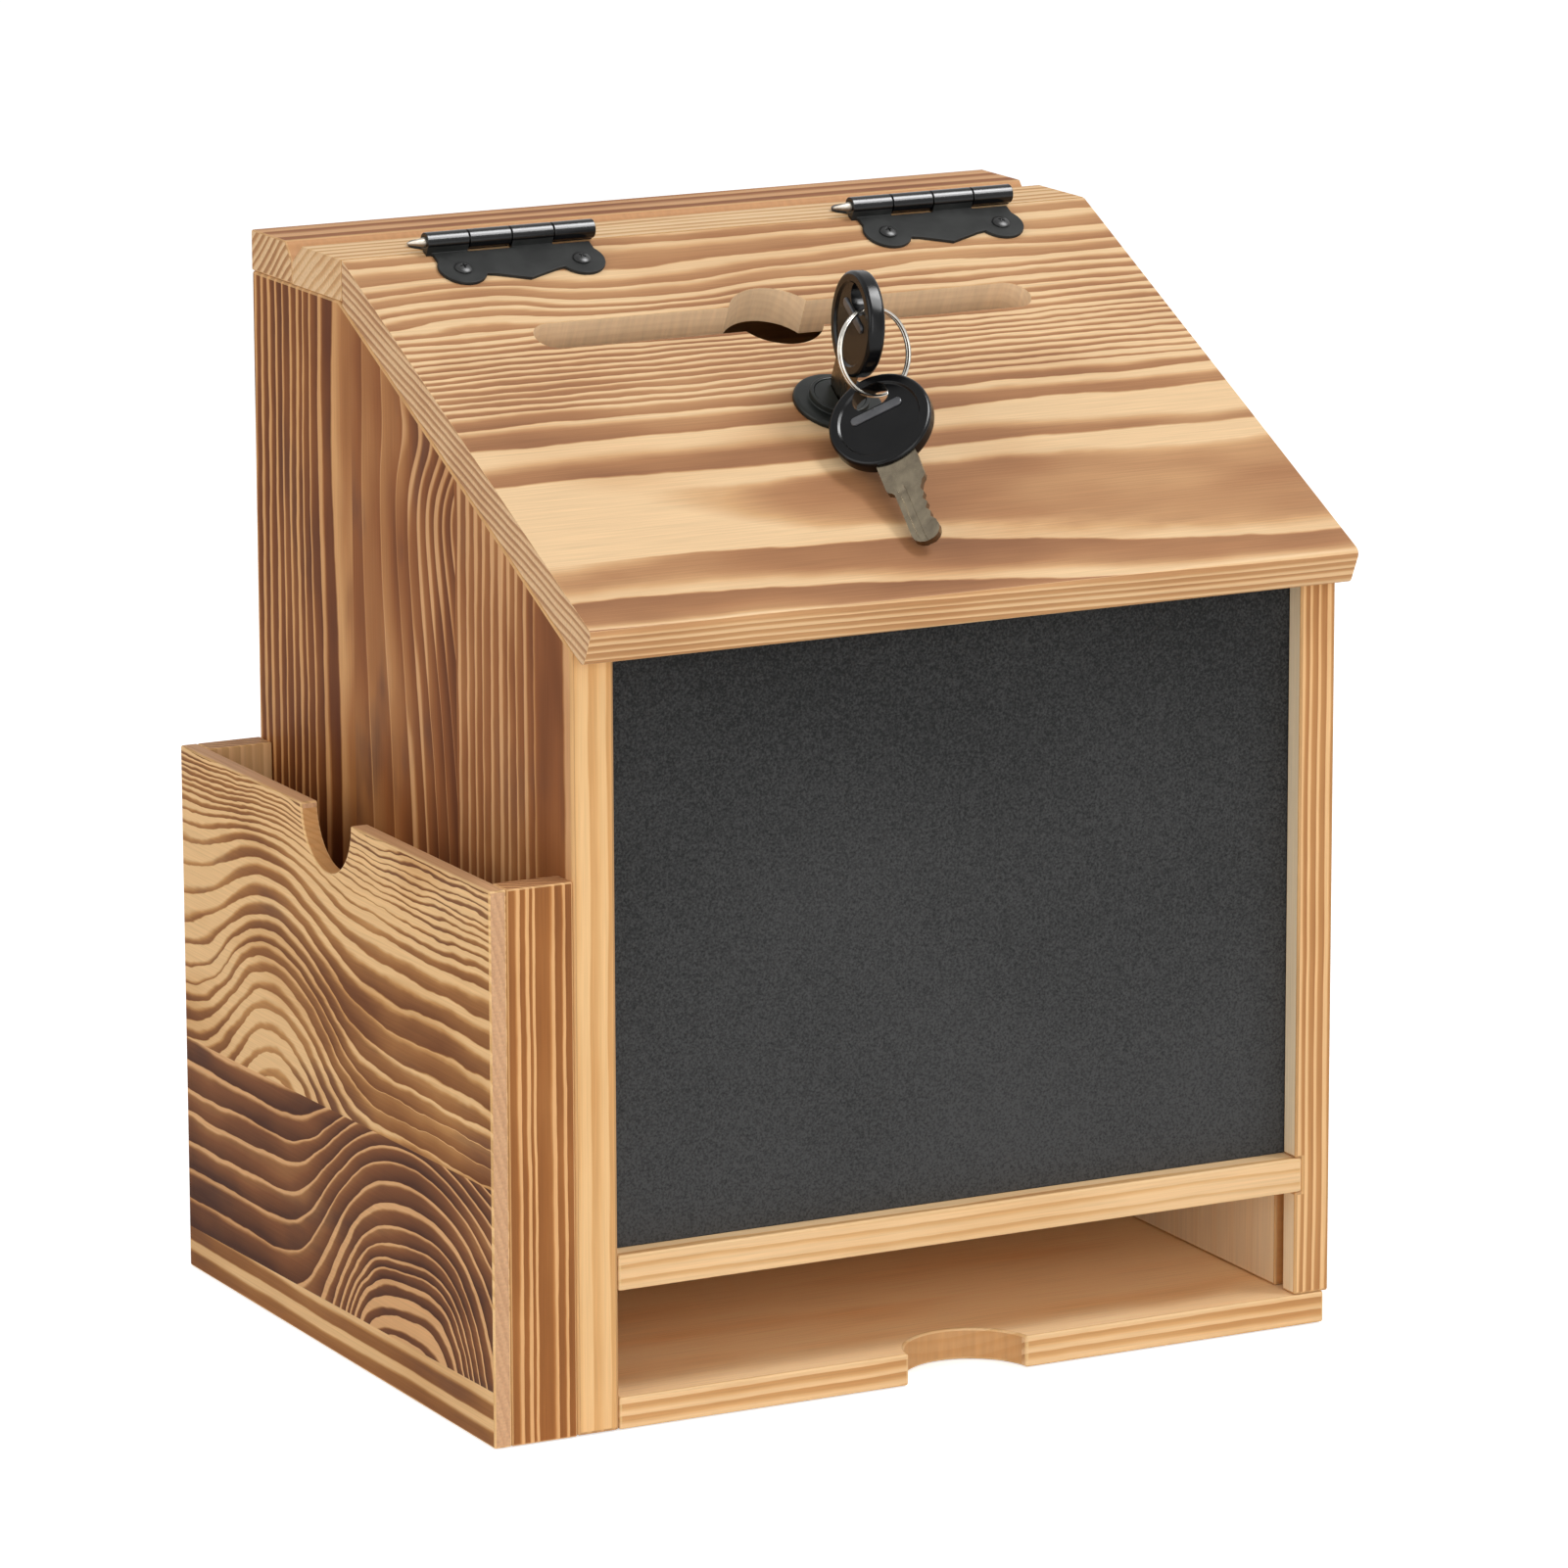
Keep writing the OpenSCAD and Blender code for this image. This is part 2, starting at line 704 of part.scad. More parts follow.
module at_spare() {
    set_down() on_lid() translate(cross_at)
        rotate([0, 0, spare_heading]) rotate([spare_pitch, 0, 0]) rotate([0, -spare_roll, 0])
            translate([0, -spare_eye - head_mid, 0]) rotate([-90, -90, 0]) children();
}

module key_blade() { color("#b9b7b0") at_key() key_plate(); }
module key_head() { color("#141416") at_key() key_bow(); }
module spare_key_blade() { color("#b9b7b0") at_spare() key_plate(); }
module spare_key_head() { color("#141416") at_spare() key_bow(); }

// Two turns of round wire pressed side by side
module split_ring() {
    color("#d5d6d8") set_down() on_lid() translate(ring_top)
        rotate([0, 0, ring_turn - lock_twist]) rotate([-ring_hang, 0, 0])
            translate([0, 0, -ring_d / 2]) rotate([90, 0, 0])
                rotate_extrude() for (turn = [-1, 1])
                    translate([ring_d / 2, turn * wire_pitch / 2]) circle(d = wire_d);
}

base_board();
left_side_panel();
right_side_panel();
back_panel();
divider_shelf();
chalkboard_panel();
lock_rail();
top_front_board();
top_rear_board();
pocket_outer_panel();
pocket_front_strip();
pocket_back_strip();
pocket_floor();
lid_board();
left_hinge_fixed_leaf();
left_hinge_lid_leaf();
left_hinge_pin();
right_hinge_fixed_leaf();
right_hinge_lid_leaf();
right_hinge_pin();
fixed_leaf_screws();
lid_leaf_screws();
lock_housing();
lock_nut();
lock_plug();
cam_arm();
cam_screw();
key_blade();
key_head();
split_ring();
spare_key_blade();
spare_key_head();
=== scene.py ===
"""Looks of the torched softwood suggestion box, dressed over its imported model.

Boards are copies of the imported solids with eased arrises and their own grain, the
hardware is finished piece by piece, and the studio is a plain pale floor.
"""

import logging
import math
from collections.abc import Callable, Iterable, Iterator
from contextlib import contextmanager
from dataclasses import dataclass, field
from enum import Enum
from functools import partial

import bmesh
import bpy
from mathutils import Matrix, Vector


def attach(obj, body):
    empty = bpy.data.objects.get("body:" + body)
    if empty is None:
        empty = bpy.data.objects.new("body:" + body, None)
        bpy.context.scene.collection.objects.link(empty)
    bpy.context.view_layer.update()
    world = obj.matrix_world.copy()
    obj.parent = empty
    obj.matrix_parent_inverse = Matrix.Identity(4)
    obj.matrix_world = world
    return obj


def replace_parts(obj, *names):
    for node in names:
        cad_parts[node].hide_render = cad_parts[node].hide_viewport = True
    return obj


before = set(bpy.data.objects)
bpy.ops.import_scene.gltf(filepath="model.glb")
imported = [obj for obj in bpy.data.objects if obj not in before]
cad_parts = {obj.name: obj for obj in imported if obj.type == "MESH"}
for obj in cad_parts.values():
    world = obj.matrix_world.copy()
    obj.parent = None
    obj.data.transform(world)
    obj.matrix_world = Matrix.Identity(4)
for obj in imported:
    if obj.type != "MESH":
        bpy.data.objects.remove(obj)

MM = 0.001
LID_SLOPE = math.radians(26.4)
# A normal that leans less than about 45 degrees from a side's own way is on that side
SIDE_FACING = 0.7
# A normal that leans less than about 25 degrees from the way that is picked
PICK_FACING = 0.9
# Points nearer than this are merged, in millimetres
MERGE = 0.002
# Faces that turn by fewer degrees are one flat face, and edges that do are shaded smooth
FLAT_ANGLE = 0.6
SMOOTH_ANGLE = 35.0
# Kinds of node that are used most
MATHS = "ShaderNodeMath"
SPREAD = "ShaderNodeMapRange"
MAPPING = "ShaderNodeMapping"
NOISE = "ShaderNodeTexNoise"
MIX = "ShaderNodeMix"
log = logging.getLogger("suggestion_box")

Piece = bpy.types.Object
Material = bpy.types.Material
Node = bpy.types.Node
AddNode = Callable[..., Node]
Point = tuple[float, float, float]


def hex_colour(code: str) -> tuple[float, float, float, float]:
    """Turns an sRGB hex value to a linear colour.

    Args:
        code: Six hex digits, with or without a leading hash.

    Returns:
        Linear red, green, blue and a full alpha.
    """
    digits = code.lstrip("#")
    shares = [int(digits[i:i + 2], 16) / 255 for i in (0, 2, 4)]
    linear = [s / 12.92 if s <= 0.04045 else ((s + 0.055) / 1.055) ** 2.4 for s in shares]
    return (linear[0], linear[1], linear[2], 1.0)


def add_node(tree: bpy.types.NodeTree, kind: str, feeds: dict[str, object] | Iterable[object] = (),
             **settings: object) -> Node:
    """Adds a node with its settings and what feeds it.

    Args:
        tree: The node tree that takes the node.
        kind: Blender's name for the node's type.
        feeds: Values, sockets or nodes for its open inputs, in order or by name.
        settings: Attributes of the node by name.

    Returns:
        The new node.
    """
    node = tree.nodes.new(kind)
    for name, value in settings.items():
        setattr(node, name, value)
    open_inputs = [s for s in node.inputs if s.enabled]
    named = {s.name: s for s in reversed(open_inputs)}
    pairs = feeds.items() if isinstance(feeds, dict) else enumerate(feeds)
    for key, feed in pairs:
        socket = open_inputs[key] if isinstance(key, int) else named[key]
        if isinstance(feed, Node):
            feed = next(s for s in feed.outputs if s.enabled)
        if isinstance(feed, bpy.types.NodeSocket):
            tree.links.new(feed, socket)
        else:
            socket.default_value = feed
    return node


def new_material(name: str) -> tuple[Material, AddNode]:
    """Makes an empty material.

    Args:
        name: The real material's name.

    Returns:
        The material and the function that adds a node to it.
    """
    material = bpy.data.materials.new(name)
    material.use_nodes = True
    material.node_tree.nodes.clear()
    return material, partial(add_node, material.node_tree)


def close_surface(add: AddNode, looks: dict[str, object], height: Node,
                  strength: float, depth: float) -> None:
    """Closes a material with its relief, its shader and its output.

    Args:
        add: Adds a node to the material.
        looks: What the shader's sockets get, by name.
        height: The relief.
        strength: How strongly the relief shows.
        depth: The relief's depth in millimetres.
    """
    relief = {"Strength": strength, "Distance": depth * MM, "Height": height}
    bump = add("ShaderNodeBump", relief)
    shader = add("ShaderNodeBsdfPrincipled", {**looks, "Normal": bump})
    add("ShaderNodeOutputMaterial", [shader])


class Side(Enum):
    """Which side of a board a face belongs to."""

    FACE = "face"
    INNER = "inner"
    EDGE = "edge"
    END = "end"
    CUT = "cut"
    ARRIS = "arris"


@dataclass(frozen=True)
class SideLook:
    """How one side of a board takes the flame: its burn, its tint and its fibres.

    A side without a tint of its own takes the plank's cut colour.
    """

    burn: float
    tint: str
    tint_share: float
    fibre: Point
    fibre_show: float


# Fibres are drawn 0.5 mm wide on the faces, which is the finest that the render shows;
# end grain shows pores instead, as fine dots
SIDE_LOOKS = {
    Side.FACE: SideLook(1.0, "", 0.0, (26.0, 0.5, 0.5), 0.10),
    Side.INNER: SideLook(0.35, "#e6c090", 0.38, (26.0, 0.6, 0.6), 0.07),
    Side.EDGE: SideLook(0.8, "#dba56c", 0.2, (26.0, 0.5, 0.5), 0.09),
    Side.END: SideLook(0.9, "#b88e6c", 0.3, (0.7, 0.7, 0.7), 0.12),
    Side.CUT: SideLook(0.3, "", 0.7, (1.6, 1.6, 14.0), 0.08),
    Side.ARRIS: SideLook(0.5, "#e6bf88", 0.4, (20.0, 0.5, 0.5), 0.08),
}


@dataclass(frozen=True)
class Lie:
    """How a board lies: a corner, the way its grain runs and the way across it.

    The third way, across turned from along, points into the board.
    """

    origin: Point
    along: Point
    across: Point

    @property
    def into(self) -> Vector:
        """The way into the board."""
        return Vector(self.along).cross(Vector(self.across)).normalized()

    @property
    def turn(self) -> Matrix:
        """Columns along, across and into, as a matrix."""
        return Matrix((Vector(self.along), Vector(self.across), self.into)).transposed()

    def side_of(self, normal: Vector) -> Side:
        """Names the side that a face is on.

        Args:
            normal: The face's outward normal.

        Returns:
            The side of the board.
        """
        depth = normal.dot(self.into)
        if abs(depth) > SIDE_FACING:
            return Side.FACE if depth < 0 else Side.INNER
        return Side.END if abs(normal.dot(Vector(self.along))) > SIDE_FACING else Side.EDGE


@dataclass(frozen=True)
class Swell:
    """A place where the rings are lifted, as by a knot, or where the flame stayed longer.

    Spare is the other way round: the flame passed it by and the wood stayed paler.
    """

    along: float
    across: float
    reach_along: float
    reach_across: float
    lift: float = 0.0
    burn: float = 0.0
    spare: float = 0.0
    steepness: float = 2.0


@dataclass(frozen=True)
class Blot:
    """Soft noise of a real size.

    Size is one blot along, across and into the board, in millimetres, octaves give
    finer detail, and shift keeps one kind of noise apart from the next.
    """

    size: Point
    octaves: float
    shift: float


@dataclass(frozen=True)
class Torch:
    """Colours of one torched board, from bare wood to the darkest burn, and of its soot."""

    light: str
    honey: str
    brown: str
    char: str
    smoke: str


@dataclass(frozen=True)
class TorchedPine:
    """Softwood planed, torched and brushed back.

    The flame browns the soft early wood of each growth ring, with one crisp border at
    the late wood line, which stays pale. Marks give the places of rings across the
    board, in millimetres, where the grain lines cross its middle.
    """

    name: str
    lie: Lie
    marks: tuple[tuple[float, float], ...]
    colours: Torch
    swells: tuple[Swell, ...] = ()
    drift: float = 2.0
    drift_long: float = 60.0
    drift_wide: float = 18.0
    ripple: float = 0.3
    depth_rings: float = 0.33
    burn: float = 0.55
    burn_soft: float = 0.25
    burn_vary: float = 0.3
    crisp: float = 0.08
    strength: float = 0.75
    fade: float = 0.35
    cloud: float = 0.3
    smoke: float = 0.2
    grain_seed: float = 0.0
    cut: str = "#c58c52"

    def material(self, side: Side) -> Material:
        """Builds this board's material for one of its sides, once.

        Args:
            side: The side of the board.

        Returns:
            The material.
        """
        name = f"torched_pine_{self.name}_{side.value}"
        found = bpy.data.materials.get(name)
        if found is not None:
            return found
        material, add = new_material(name)
        Grain(self, side, add).build()
        return material


@dataclass
class Grain:
    """The nodes of one plank on one of its sides: rings, burn, soot and fibres."""

    plank: TorchedPine
    side: Side
    add: AddNode
    place: Node | None = None
    drift_deep: float = 60.0
    swell_deep: float = 1000.0
    ripples: Blot = Blot((12.0, 5.0, 9.0), 2.0, 8.7)
    clouds: Blot = Blot((70.0, 26.0, 26.0), 2.0, 21.0)
    smoke: Blot = Blot((48.0, 20.0, 20.0), 3.0, 43.0)
    # Where each noise starts to show and where it shows in full
    chance_span: tuple[float, float] = (0.4, 1.6)
    cloud_span: tuple[float, float] = (0.3, 0.7)
    smoke_span: tuple[float, float] = (0.5, 0.72)
    fibre_span: tuple[float, float] = (0.25, 0.75)
    # How far along the burn each of the torch's colours stands
    stops: tuple[float, ...] = (0.0, 0.33, 0.68, 1.0)
    linger: float = 0.3
    # Height of bare and of burnt wood, which the brush has worn down, and of the fibres
    heights: tuple[float, float] = (0.85, 0.15)
    fibre_height: float = 0.3
    # Roughness of burnt wood and of late wood, which the brush has polished
    roughness: tuple[float, float] = (0.72, 0.54)
    gloss: float = 0.14

    def build(self) -> None:
        """Adds all the nodes."""
        lie = self.plank.lie
        # The board's own millimetres: along, across and into it
        self.place = self.add(MAPPING, {
            "Vector": self.add("ShaderNodeTexCoord").outputs["Object"],
            "Location": [c * MM for c in lie.origin], "Rotation": lie.turn.to_euler(),
            "Scale": (MM, MM, MM)}, vector_type="TEXTURE")
        burnt, amount = self.burn(self.rings())
        fibre = self.noise(Blot(SIDE_LOOKS[self.side].fibre, 2.0, 5.0))
        height = self.add(SPREAD, [amount, 0.0, 1.0, *self.heights])
        height = self.add(MATHS, [fibre, self.fibre_height, height], operation="MULTIPLY_ADD")
        rough = self.add(SPREAD, [height, 0.0, 1.0, *self.roughness])
        looks = {"Base Color": self.colour(burnt, amount, fibre), "Roughness": rough,
                 "Specular IOR Level": self.gloss}
        close_surface(self.add, looks, height, strength=0.35, depth=0.25)

    def noise(self, blot: Blot) -> Node:
        """Adds soft noise of a real size, moved by the plank's seed so that no two match.

        Args:
            blot: The noise's size and detail.

        Returns:
            The noise node.
        """
        seed = self.plank.grain_seed
        scaled = self.add(MAPPING, {
            "Vector": self.place, "Location": (blot.shift + seed, seed * 1.7, blot.shift),
            "Scale": [1 / s for s in blot.size]})
        return self.add(NOISE, {
            "Vector": scaled, "Scale": 1.0, "Detail": blot.octaves, "Roughness": 0.55})

    def humps(self, trait: str) -> list[Node]:
        """Adds a soft hump for each swell that has a trait.

        Args:
            trait: The swell's value that gives the hump's height.

        Returns:
            The humps' nodes.
        """
        humps = []
        for swell in self.plank.swells:
            top = getattr(swell, trait)
            if not top:
                continue
            near = self.add(MAPPING, {
                "Vector": self.place, "Location": (swell.along, swell.across, 0),
                "Scale": (swell.reach_along, swell.reach_across, self.swell_deep)},
                vector_type="TEXTURE")
            far = self.add("ShaderNodeVectorMath", [near], operation="LENGTH").outputs["Value"]
            fall = self.add(MATHS, [far, 2 * swell.steepness], operation="POWER")
            fall = self.add(MATHS, [fall, -1.0], operation="MULTIPLY")
            hump = self.add(MATHS, [fall], operation="EXPONENT")
            humps.append(self.add(MATHS, [hump, top], operation="MULTIPLY"))
        return humps

    def rings(self) -> Node:
        """Adds the ring count over the board, a whole number at each late wood line.

        Returns:
            The node that gives the count.
        """
        plank = self.plank
        ways = self.add("ShaderNodeSeparateXYZ", [self.place]).outputs
        across = ways[1]
        drifts = Blot((plank.drift_long, plank.drift_wide, self.drift_deep), 1.5, 3.1)
        for blot, sway in ((drifts, plank.drift), (self.ripples, plank.ripple)):
            across = self.add(MATHS, [self.noise(blot), 2 * sway, across], operation="MULTIPLY_ADD")
        across = self.add(MATHS, [across, plank.drift + plank.ripple], operation="SUBTRACT")
        for hump in self.humps("lift"):
            across = self.add(MATHS, [across, hump], operation="SUBTRACT")
        places, counts = zip(*plank.marks)
        least, span = min(counts), max(counts) - min(counts)
        share = self.add(SPREAD, [across, places[0], places[-1], 0.0, 1.0])
        curve = self.add("ShaderNodeFloatCurve", {"Value": share})
        spots = [((place - places[0]) / (places[-1] - places[0]), (count - least) / span)
                 for place, count in plank.marks]
        line = curve.mapping.curves[0]
        line.points[0].location, line.points[1].location = spots[0], spots[-1]
        for spot in spots[1:-1]:
            line.points.new(*spot)
        curve.mapping.update()
        rings = self.add(MATHS, [curve, span, least], operation="MULTIPLY_ADD")
        return self.add(MATHS, [ways[2], plank.depth_rings, rings], operation="MULTIPLY_ADD")

    def burn(self, rings: Node) -> tuple[Node, Node]:
        """Adds where the flame browned each ring, and how much.

        Args:
            rings: The ring count.

        Returns:
            The burnt part of each ring, and the amount of burn over the whole board.
        """
        plank, add, side_burn = self.plank, self.add, SIDE_LOOKS[self.side].burn
        share = add(MATHS, [rings], operation="FRACT")
        number = add(MATHS, [rings], operation="FLOOR")
        chance = add("ShaderNodeTexWhiteNoise", [number], noise_dimensions="1D")
        cloud = self.noise(self.clouds)
        # Each ring is browned over its own width, wider where the flame stayed longer
        vary = add(MATHS, [chance.outputs["Value"], cloud], operation="ADD")
        least, most = (plank.burn + way * plank.burn_vary / 2 for way in (-1, 1))
        width = add(SPREAD, [vary, *self.chance_span, least, most])
        stay = None
        for hump in self.humps("burn"):
            width = add(MATHS, [width, hump], operation="ADD")
            stay = add(MATHS, [stay, hump], operation="ADD") if stay else hump
        near = add(MATHS, [width, plank.burn_soft], operation="SUBTRACT")
        far = add(MATHS, [width, plank.burn_soft], operation="ADD")
        rise = add(SPREAD, [share, 0.0, plank.crisp, 0.0, 1.0], interpolation_type="SMOOTHSTEP")
        fall = add(SPREAD, [share, near, far, 1.0, 0.0], interpolation_type="SMOOTHSTEP")
        burnt = add(MATHS, [rise, fall], operation="MULTIPLY")
        # The burn is deepest right at the crisp border and fades from there
        deep = add(SPREAD, [share, 0.0, 1.0, plank.strength, plank.strength * (1 - plank.fade)])
        for hump in self.humps("spare"):
            deep = add(MATHS, [deep, hump], operation="SUBTRACT")
        amount = add(MATHS, [burnt, deep], operation="MULTIPLY")
        clouded = add(SPREAD, [cloud, *self.cloud_span, -plank.cloud / 2, plank.cloud / 2],
                      clamp=False)
        amount = add(MATHS, [amount, clouded], operation="ADD")
        if stay:
            amount = add(MATHS, [stay, self.linger, amount], operation="MULTIPLY_ADD")
        amount = add(MATHS, [amount, side_burn], operation="MULTIPLY", use_clamp=True)
        return burnt, amount

    def colour(self, burnt: Node, amount: Node, fibre: Node) -> Node:
        """Adds the wood's colour.

        Args:
            burnt: The burnt part of each ring.
            amount: The amount of burn.
            fibre: The fibres' noise.

        Returns:
            The node that gives the colour.
        """
        plank, add, look = self.plank, self.add, SIDE_LOOKS[self.side]
        torch = plank.colours
        ramp = add("ShaderNodeValToRGB", [amount])
        first, *between, last = zip(self.stops, (torch.light, torch.honey, torch.brown, torch.char))
        bands = ramp.color_ramp.elements
        for band, (stop, code) in zip(bands, (first, last)):
            band.position, band.color = stop, hex_colour(code)
        for stop, code in between:
            bands.new(stop).color = hex_colour(code)
        smoky = self.noise(self.smoke)
        soot = add(SPREAD, [smoky, *self.smoke_span, 0.0, plank.smoke * look.burn],
                   interpolation_type="SMOOTHSTEP")
        sooted = add(MATHS, [soot, burnt], operation="MULTIPLY")
        colour = add(MIX, [sooted, ramp, hex_colour(torch.smoke)], data_type="RGBA")
        if look.tint_share:
            tint = hex_colour(look.tint or plank.cut)
            colour = add(MIX, [look.tint_share, colour, tint], data_type="RGBA")
        bright = add(SPREAD, [fibre, *self.fibre_span, 1 - look.fibre_show, 1 + look.fibre_show],
                     clamp=False)
        return add("ShaderNodeHueSaturation", {"Value": bright, "Color": colour})


@dataclass(frozen=True)
class ChalkCoating:
    """Blackboard paint rolled on a thin board: charcoal, quite matt, with a fine tooth.

    Tooth and wiped patches are sizes in millimetres. Painted shade of the lid's overhang runs
    from low to high, paler at the foot and darker at the top, and the last pair says where
    the dark paint turns to the pale.
    """

    dark: str = "#1e1f1f"
    pale: str = "#454545"
    tooth: float = 0.55
    patch: float = 60.0
    patch_share: float = 0.25
    painted_shade_heights: tuple[float, float] = (50.0, 180.0)
    painted_shade_amounts: tuple[float, float] = (0.12, -0.1)
    turn_pale: tuple[float, float] = (0.38, 0.88)

    def material(self) -> Material:
        """Builds the coating."""
        material, add = new_material("chalkboard_paint_matt")
        where = add("ShaderNodeTexCoord").outputs["Object"]
        tooth, wiped = [
            add(NOISE, {"Vector": where, "Scale": 1 / (size * MM), "Detail": octaves,
                        "Roughness": rough})
            for size, octaves, rough in ((self.tooth, 1.0, 0.6), (self.patch, 2.0, 0.5))]
        both = add(MATHS, [wiped, self.patch_share, tooth], operation="MULTIPLY_ADD")
        # Painted shade: the paint is drawn darker towards the top, under the lid's overhang, and
        # paler at the foot
        low, high = (c * MM for c in self.painted_shade_heights)
        up = add("ShaderNodeSeparateXYZ", [where]).outputs[2]
        painted_shade = add(SPREAD, [up, low, high, *self.painted_shade_amounts])
        both = add(MATHS, [both, painted_shade], operation="ADD")
        share = add(SPREAD, [both, *self.turn_pale, 0.0, 1.0])
        colour = add(MIX, [share, hex_colour(self.dark), hex_colour(self.pale)], data_type="RGBA")
        looks = {"Base Color": colour, "Roughness": 0.8, "Specular IOR Level": 0.15}
        close_surface(add, looks, tooth, strength=0.25, depth=0.1)
        return material


@dataclass(frozen=True)
class HardFinish:
    """A metal or plastic surface with small scuffs that vary its colour and gloss.

    Scuffs and the relief's grit are sizes in millimetres, and the two spans say between
    which noise values a surface goes from clean to scuffed.
    """

    name: str
    colour: str
    worn: str
    roughness: float
    scuffed: float
    metallic: float = 0.0
    specular: float = 0.5
    scuff_size: Point = (6.0, 6.0, 6.0)
    bump: float = 0.1
    bump_size: float = 0.5
    colour_span: tuple[float, float] = (0.35, 0.7)
    gloss_span: tuple[float, float] = (0.3, 0.75)

    def material(self) -> Material:
        """Builds the finish once and gives it."""
        found = bpy.data.materials.get(self.name)
        if found is not None:
            return found
        material, add = new_material(self.name)
        where = add("ShaderNodeTexCoord").outputs["Object"]
        size = [1 / (s * MM) for s in self.scuff_size]
        stretched = add(MAPPING, {"Vector": where, "Scale": size})
        scuff = add(NOISE, {"Vector": stretched, "Scale": 1.0, "Detail": 3.0, "Roughness": 0.6})
        share = add(SPREAD, [scuff, *self.colour_span, 0.0, 1.0])
        colour = add(MIX, [share, hex_colour(self.colour), hex_colour(self.worn)], data_type="RGBA")
        rough = add(SPREAD, [scuff, *self.gloss_span, self.roughness, self.scuffed])
        grit = add(NOISE, {"Vector": where, "Scale": 1 / (self.bump_size * MM), "Detail": 2.0})
        looks = {"Base Color": colour, "Roughness": rough, "Metallic": self.metallic,
                 "Specular IOR Level": self.specular}
        close_surface(add, looks, grit, strength=self.bump, depth=0.05)
        return material


# Stamped steel leaves in satin black enamel: dark with soft long highlights
BLACK_ENAMEL = HardFinish("black_enamelled_steel", "#232423", "#303130", 0.42, 0.6, specular=0.13)
# The same enamel polished by the rolling of the knuckles: black with a long bright highlight
BLACK_GLOSS = HardFinish("black_enamelled_steel_rolled", "#060607", "#0c0c0e", 0.18, 0.24,
                         specular=0.36)
# Blackened screw steel: oily dark grey with a faint gleam on the dome
BLACK_SCREW = HardFinish("blackened_screw_steel", "#161616", "#232322", 0.3, 0.42, specular=0.35)
# Zinc die casting under black lacquer: soft edged and dark, with a trace of green
BLACK_DIECAST = HardFinish("black_lacquered_die_casting", "#191b19", "#262824", 0.3, 0.42,
                           specular=0.2)
# Injection moulded ABS: glossy black with a faint moulded softness
BLACK_ABS = HardFinish("glossy_black_abs", "#060607", "#0b0b0c", 0.16, 0.28, specular=0.2,
                       bump=0.15, bump_size=1.2)
# The same plastic on the raised bar, a little greyer: a painted reflection on the bar's top
PAINTED_SHEEN_ABS = HardFinish("glossy_black_abs_painted_sheen", "#3a3b3e", "#4c4d50", 0.24, 0.36)
# Nickel plated brass, tumbled: warm grey metal with fine marks along the blade
NICKEL = HardFinish("nickel_plated_brass", "#867b68", "#675e50", 0.2, 0.36, metallic=1.0,
                    scuff_size=(3.0, 3.0, 8.0))
# Nickel plated spring wire: bright and smooth
SPRING_WIRE = HardFinish("nickel_plated_spring_wire", "#c9c5bd", "#aba69c", 0.16, 0.24,
                         metallic=1.0, bump=0.0)
# Plain drawn steel: dull warm grey metal
PIN_STEEL = HardFinish("drawn_steel_left_plain", "#a39c91", "#857f76", 0.45, 0.6, metallic=1.0)
# Zinc plated steel: pale grey metal, slightly milky
ZINC = HardFinish("zinc_plated_steel", "#b9bbbd", "#a2a5a8", 0.32, 0.46, metallic=1.0)


